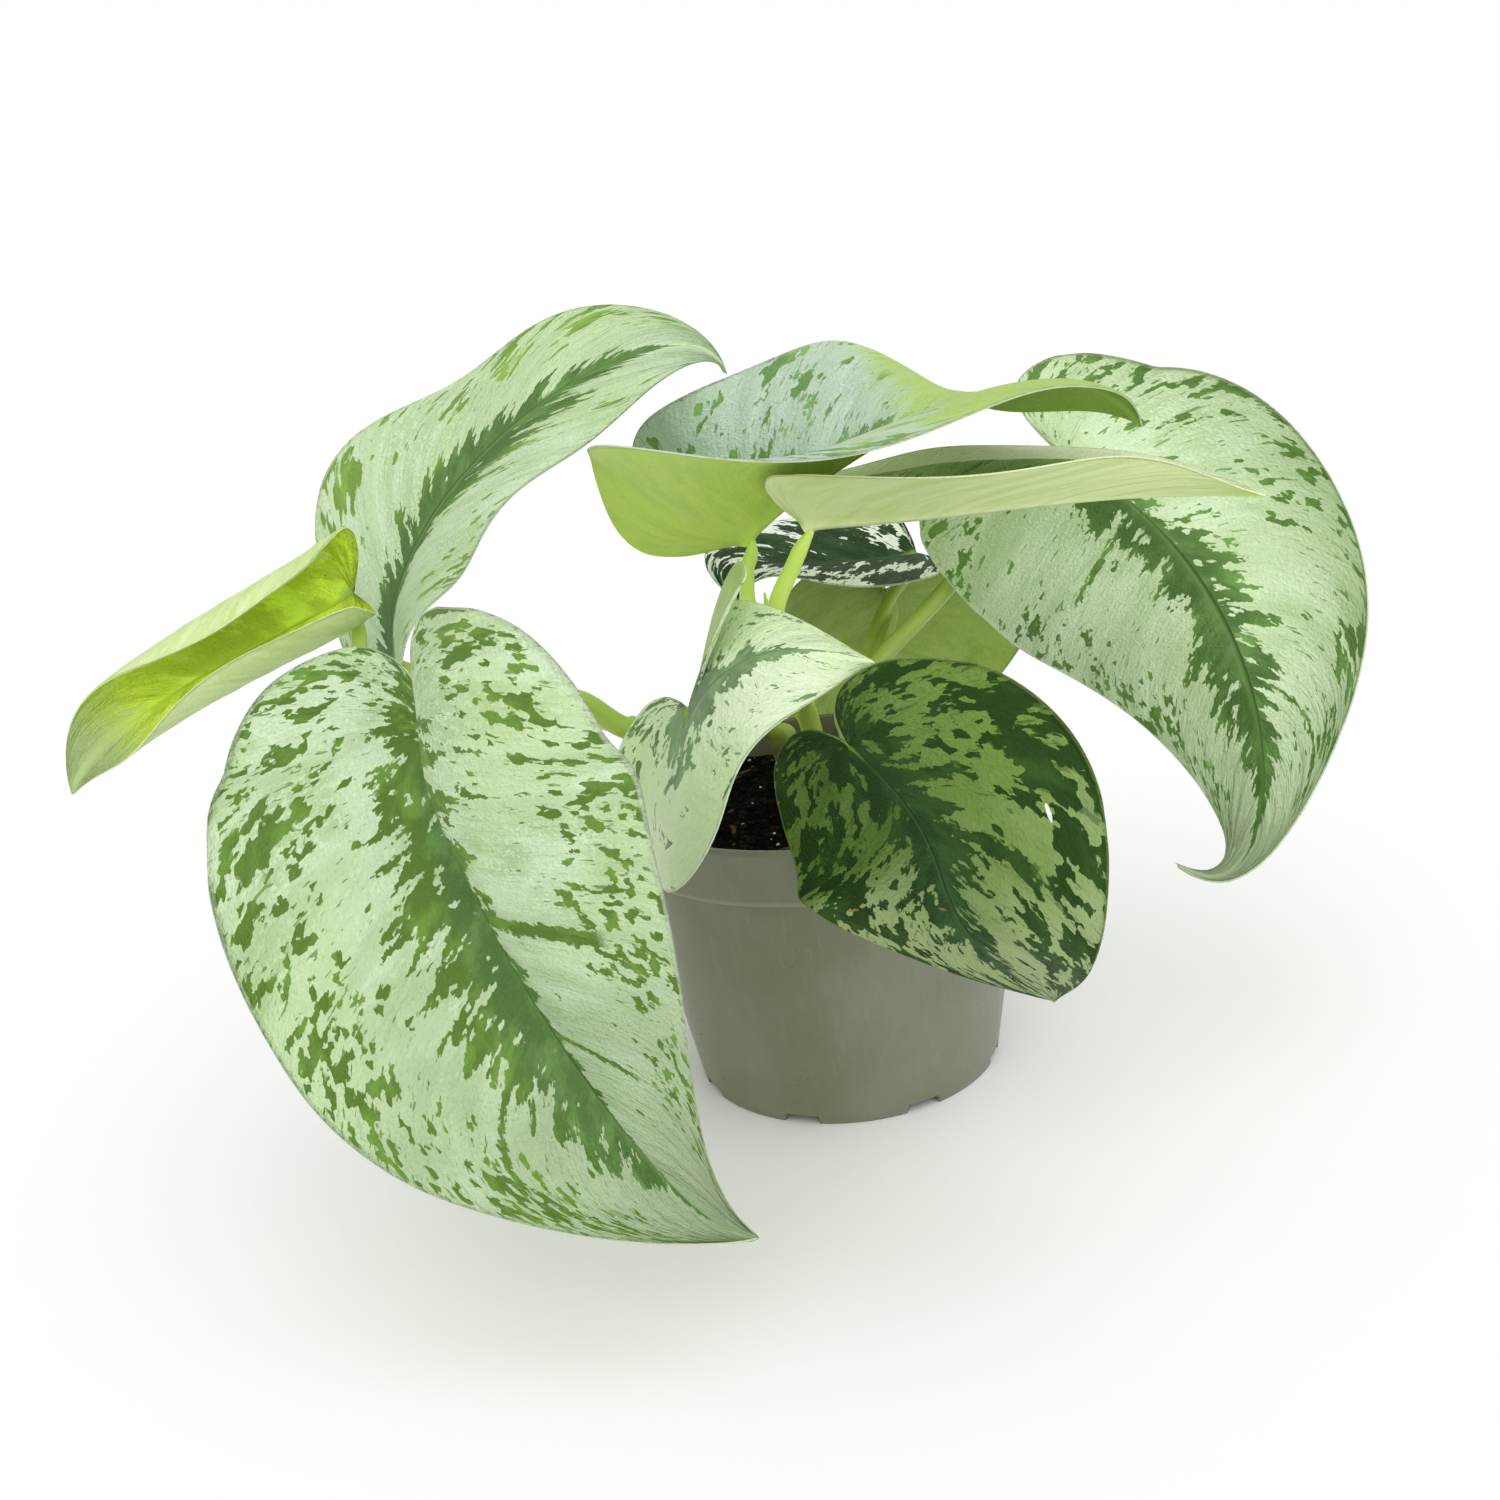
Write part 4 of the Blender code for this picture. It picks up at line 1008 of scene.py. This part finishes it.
# Small lumps: each a squashed ball of few faces with its points pushed in and out, turned at random and set
# on the bed with its foot sunk. None stands near a shoot or passes the pot's wall.
def makeCrumbs():
    b = soilBuild
    rng = np.random.default_rng(b["seed"])
    counts = [kind["count"] for kind in crumbKinds]
    total = sum(counts)
    ball, ballFaces = compact(*ballMesh((0, 0, 0, 1), 5, 7))
    kinds = np.repeat(np.arange(len(crumbKinds)), counts)
    tint = kinds / (len(crumbKinds) - 1)
    size = np.choose(kinds, [rng.uniform(*kind["size"], total) for kind in crumbKinds])
    long = np.repeat([kind["long"] for kind in crumbKinds], counts)
    stretch = np.stack([long, np.full(total, 0.9), np.full(total, 0.6)], 1)
    radius = b["crumbReach"] * np.sqrt(rng.random(total))
    turn = rng.uniform(0, 2 * math.pi, total)
    x, y = radius * np.cos(turn), radius * np.sin(turn)
    isClear = footDistance(x, y) > b["clearance"]
    spin = rng.uniform(0, 2 * math.pi, total)
    bumps = rng.uniform(0.72, 1.28, (total, len(ball), 1))
    shape = ball[None] * bumps * stretch[:, None] * size[:, None, None]
    cos, sin = np.cos(spin)[:, None], np.sin(spin)[:, None]
    px = shape[..., 0] * cos - shape[..., 1] * sin + x[:, None]
    py = shape[..., 0] * sin + shape[..., 1] * cos + y[:, None]
    ground = soilHeight(x, y) + soilGrains(x, y) - b["sink"]
    pz = shape[..., 2] + (ground + size * 0.1)[:, None]
    keep = isClear & (np.hypot(px, py).max(1) < b["crumbLimit"])
    points = np.stack([px, py, pz], -1)[keep]
    faces = ballFaces[None] + (np.arange(len(points)) * len(ball))[:, None, None]
    return makePiece("soil_crumbs", points.reshape(-1, 3) * mm, faces.reshape(-1, 3), [crumbFinish()],
                     [], tint=np.repeat(tint[keep], len(ball)))


# How far each place is from the nearest shoot's axis
def footDistance(x, y):
    feet = np.array([stem["foot"] for stem in stemRuns.values()], float)
    return np.hypot(x[:, None] - feet[:, 0], y[:, None] - feet[:, 1]).min(1)


makeSoil()
makeCrumbs()
print("soil made")


# The pot

potBuild = dict(
    height=80.0, rim=55.0,  # mm, as all lengths but the last line's; rim, wallTop and base are radii
    bandFoot=65.5,  # height of the lower edge of the rim's band
    bandWall=1.8,
    wallTop=52.0, base=40.9, wall=1.0, floor=3.0,
    notches=8, notchWidth=9.0, notchHeight=2.5,
    drains=8, drainRadius=3.0, drainCircle=30.0, drillDepth=4.0,
    spokes=480,
    cut=4.0,  # the longest step along the section
    colour=(0.150, 0.157, 0.088), grey=(0.186, 0.192, 0.138), speck=(0.13, 0.135, 0.095),
    wornAndHighlight=(0.30, 0.31, 0.24),  # rubbed walls, the lip's top, and a painted highlight on the ledge under it
    lip=(0.0790, 0.0799), ledgeHighlight=0.0662, ledgeWidth=(0.0002, 0.0009),  # m
)


# The pot's section, with its lip and corners rounded by small arcs, turned round Z. The foot ring's points
# are lifted where an angle lies in a notch.
def makePot():
    b = potBuild
    rim, top, band, wall, base = (b[key] for key in ("rim", "height", "bandFoot", "wallTop", "base"))
    inner, floor = rim - b["bandWall"], b["floor"] + b["wall"]
    section = [
        (0.0, floor), (base - 2.4, floor), (base - 1.3, floor + 0.3), (base - 0.95, floor + 1.4),
        (wall - b["wall"], band - 1.2), (wall - 0.75, band - 0.5), (inner - 0.45, band + 0.5),
        (inner - 0.15, band + 1.3), (inner, top - 0.5), (inner + 0.15, top - 0.12), (inner + 0.5, top),
        (rim - 0.75, top), (rim - 0.25, top - 0.2), (rim, top - 0.7), (rim - 0.02, top - 1.4),
        (rim - 0.97, band + 0.75), (rim - 1.15, band + 0.25), (rim - 1.5, band + 0.02),
        (wall + 0.3, band - 0.25), (wall + 0.05, band - 0.5), (wall - 0.06, band - 1.0),
        (base + 0.25, 2.4), (base, 0.9), (base - 0.12, 0.3), (base - 0.4, 0.02), (base - 1.4, 0.02),
        (base - 1.35, 1.2), (base - 1.3, b["floor"]), (0.0, b["floor"]),
    ]
    dense = []
    for (r0, z0), (r1, z1) in zip(section, section[1:]):
        cuts = max(1, int(math.hypot(r1 - r0, z1 - z0) / b["cut"]))
        dense += [(r0 + (r1 - r0) * i / cuts, z0 + (z1 - z0) * i / cuts) for i in range(cuts)]
    dense = np.array(dense + [section[-1]])
    turn = np.linspace(0, 2 * math.pi, b["spokes"], endpoint=False)[None, :]
    radius, height = dense[:, :1] + 0 * turn, dense[:, 1:] + 0 * turn
    pitch = 2 * math.pi / b["notches"]
    offset = np.abs((turn + 0 * radius) % pitch - pitch / 2) * base
    isFoot = (height < b["notchHeight"]) & (radius > base - 2)
    height = np.where(isFoot & (offset < b["notchWidth"] / 2), b["notchHeight"], height)
    points = np.stack([radius * np.cos(turn), radius * np.sin(turn), height], -1).reshape(-1, 3)
    points, faces = compact(points, turnedFaces(*radius.shape))
    pot = makePiece("nursery_pot", points * mm, faces, [potFinish()], ["pot"])
    drill(pot)
    return pot


# Cuts the drain holes through the floor
def drill(pot):
    b = potBuild
    mesh = bpy.data.meshes.new("drill")
    shape = bmesh.new()
    reach, middle = b["drainCircle"], b["floor"] + b["wall"] / 2
    size = b["drainRadius"] * mm
    for i in range(b["drains"]):
        turn = 2 * math.pi * i / b["drains"]
        place = Matrix.Translation((reach * math.cos(turn) * mm, reach * math.sin(turn) * mm, middle * mm))
        bmesh.ops.create_cone(shape, cap_ends=True, segments=32, radius1=size, radius2=size,
                              depth=b["drillDepth"] * mm, matrix=place)
    shape.to_mesh(mesh)
    shape.free()
    cutter = addObject("drill", mesh)
    boolean = pot.modifiers.new("drains", "BOOLEAN")
    boolean.operation, boolean.solver, boolean.object = "DIFFERENCE", "EXACT", cutter
    cut = applyModifiers(pot)
    bpy.data.objects.remove(cutter)
    cut.set_sharp_from_angle(angle=math.radians(40))


# Dull grey-green plastic with specks and scuffs, paler at the top of the lip, and a painted highlight along
# the ledge under it
def potFinish():
    b = potBuild
    paint = Paint("recycled_plastic")
    mix, step, most, noise = paint.mix, paint.step, paint.most, paint.noise
    place = paint.place()
    x, y, z = paint.split(place)
    cloud = noise(place, 22.0, 3.0, 0.55)
    speck = noise(place, 700.0, 3.0, 0.6)
    scuffs = step(noise(paint.join(x * 420, y * 420, z * 60), 1.0, 3.0, 0.6), 0.52, 0.72)
    lip = step(z, *b["lip"])
    # Painted highlight: a pale line along the ledge under the band
    ledgeHighlight = 1 - step(abs(z - b["ledgeHighlight"]), *b["ledgeWidth"])
    colour = mix(step(cloud, 0.35, 0.65), b["colour"], b["grey"])
    colour = mix(step(speck, 0.62, 0.72) * 0.35, colour, b["speck"])
    colour = mix(most(lip, ledgeHighlight) * 0.4, colour, b["wornAndHighlight"])
    colour = mix(scuffs * 0.13, colour, b["wornAndHighlight"])
    rough = (cloud - 0.5) * 0.2 + (speck - 0.5) * 0.15 + scuffs * 0.08 + 0.32
    return paint.finish(colour, rough, 0.5, paint.bump(speck + cloud * 2, 0.00012))


makePot()
print("pot made")


# The stage, its light and the camera

stageBuild = dict(
    floor=60.0, floorShade=(0.96, 0.96, 0.96),  # half its width in m, and its paint
    world=0.74, backdrop=1.0,  # the world as light, and as the camera sees it
    suns=dict(  # from where, strength, spread in degrees
        key=((0.35, -0.5, 1.0), 0.95, 80),
        fill=((-0.05, -1.0, 0.1), 1.25, 110)),
)
# Degrees and metres; the camera looks along +Y and down, and the offsets shift its view from the origin. A
# program fitted these values to the pot's rim, band and foot in the photo.
cameraBuild = dict(lens=38.4, elevation=17.4, roll=-6.9, distance=0.443, across=0.0276, upward=-0.0819)


def makeFloor():
    half = stageBuild["floor"]
    mesh = bpy.data.meshes.new("floor")
    corners = [(-half, -half, 0), (half, -half, 0), (half, half, 0), (-half, half, 0)]
    mesh.from_pydata(corners, [], [(0, 1, 2, 3)])
    mesh.materials.append(Paint("floor_paint").finish(stageBuild["floorShade"], 0.9, 0.1))
    addObject("floor", mesh)


# The matrix of an object whose X, Y and Z point right, up and back
def turnedTo(right, up, back, place=(0, 0, 0)):
    return Matrix([[right[i], up[i], back[i], place[i]] for i in range(3)] + [[0, 0, 0, 1]])


# A wide soft sun that shines from the direction given
def makeSun(name, way, strength, spread):
    light = bpy.data.lights.new(name, "SUN")
    light.energy, light.angle = strength, math.radians(spread)
    back = unit(np.array(way, float))
    right = unit(np.cross((0, 0, 1), back))
    addObject(name, light).matrix_world = turnedTo(right, np.cross(back, right), back)


def makeCamera():
    c = cameraBuild
    tilt, roll = math.radians(c["elevation"]), math.radians(c["roll"])
    forward = np.array([0, math.cos(tilt), -math.sin(tilt)])
    level = np.array([1.0, 0, 0])
    above = np.cross(level, forward)
    right = math.cos(roll) * level + math.sin(roll) * above
    up = -math.sin(roll) * level + math.cos(roll) * above
    place = -c["distance"] * forward - c["across"] * right - c["upward"] * up
    data = bpy.data.cameras.new("camera")
    data.lens, data.sensor_width, data.sensor_fit = c["lens"], 36.0, "HORIZONTAL"
    data.clip_start = 0.01
    camera = addObject("camera", data)
    camera.matrix_world = turnedTo(right, up, -forward, place)
    bpy.context.scene.camera = camera


# White to the camera and a little darker as a light
def makeWorld():
    world = bpy.data.worlds.new("studio")
    world.use_nodes = True
    tree = world.node_tree
    background = tree.nodes["Background"]
    background.inputs[0].default_value = (1, 1, 1, 1)
    seen = addNode(tree, "ShaderNodeLightPath", output="Is Camera Ray")
    level = seen * (stageBuild["backdrop"] - stageBuild["world"]) + stageBuild["world"]
    tree.links.new(level.source, background.inputs[1])
    bpy.context.scene.world = world


makeFloor()
for name, sun in stageBuild["suns"].items():
    makeSun(name, *sun)
makeCamera()
makeWorld()
bpy.context.scene.view_settings.view_transform = "Standard"
print("stage made")
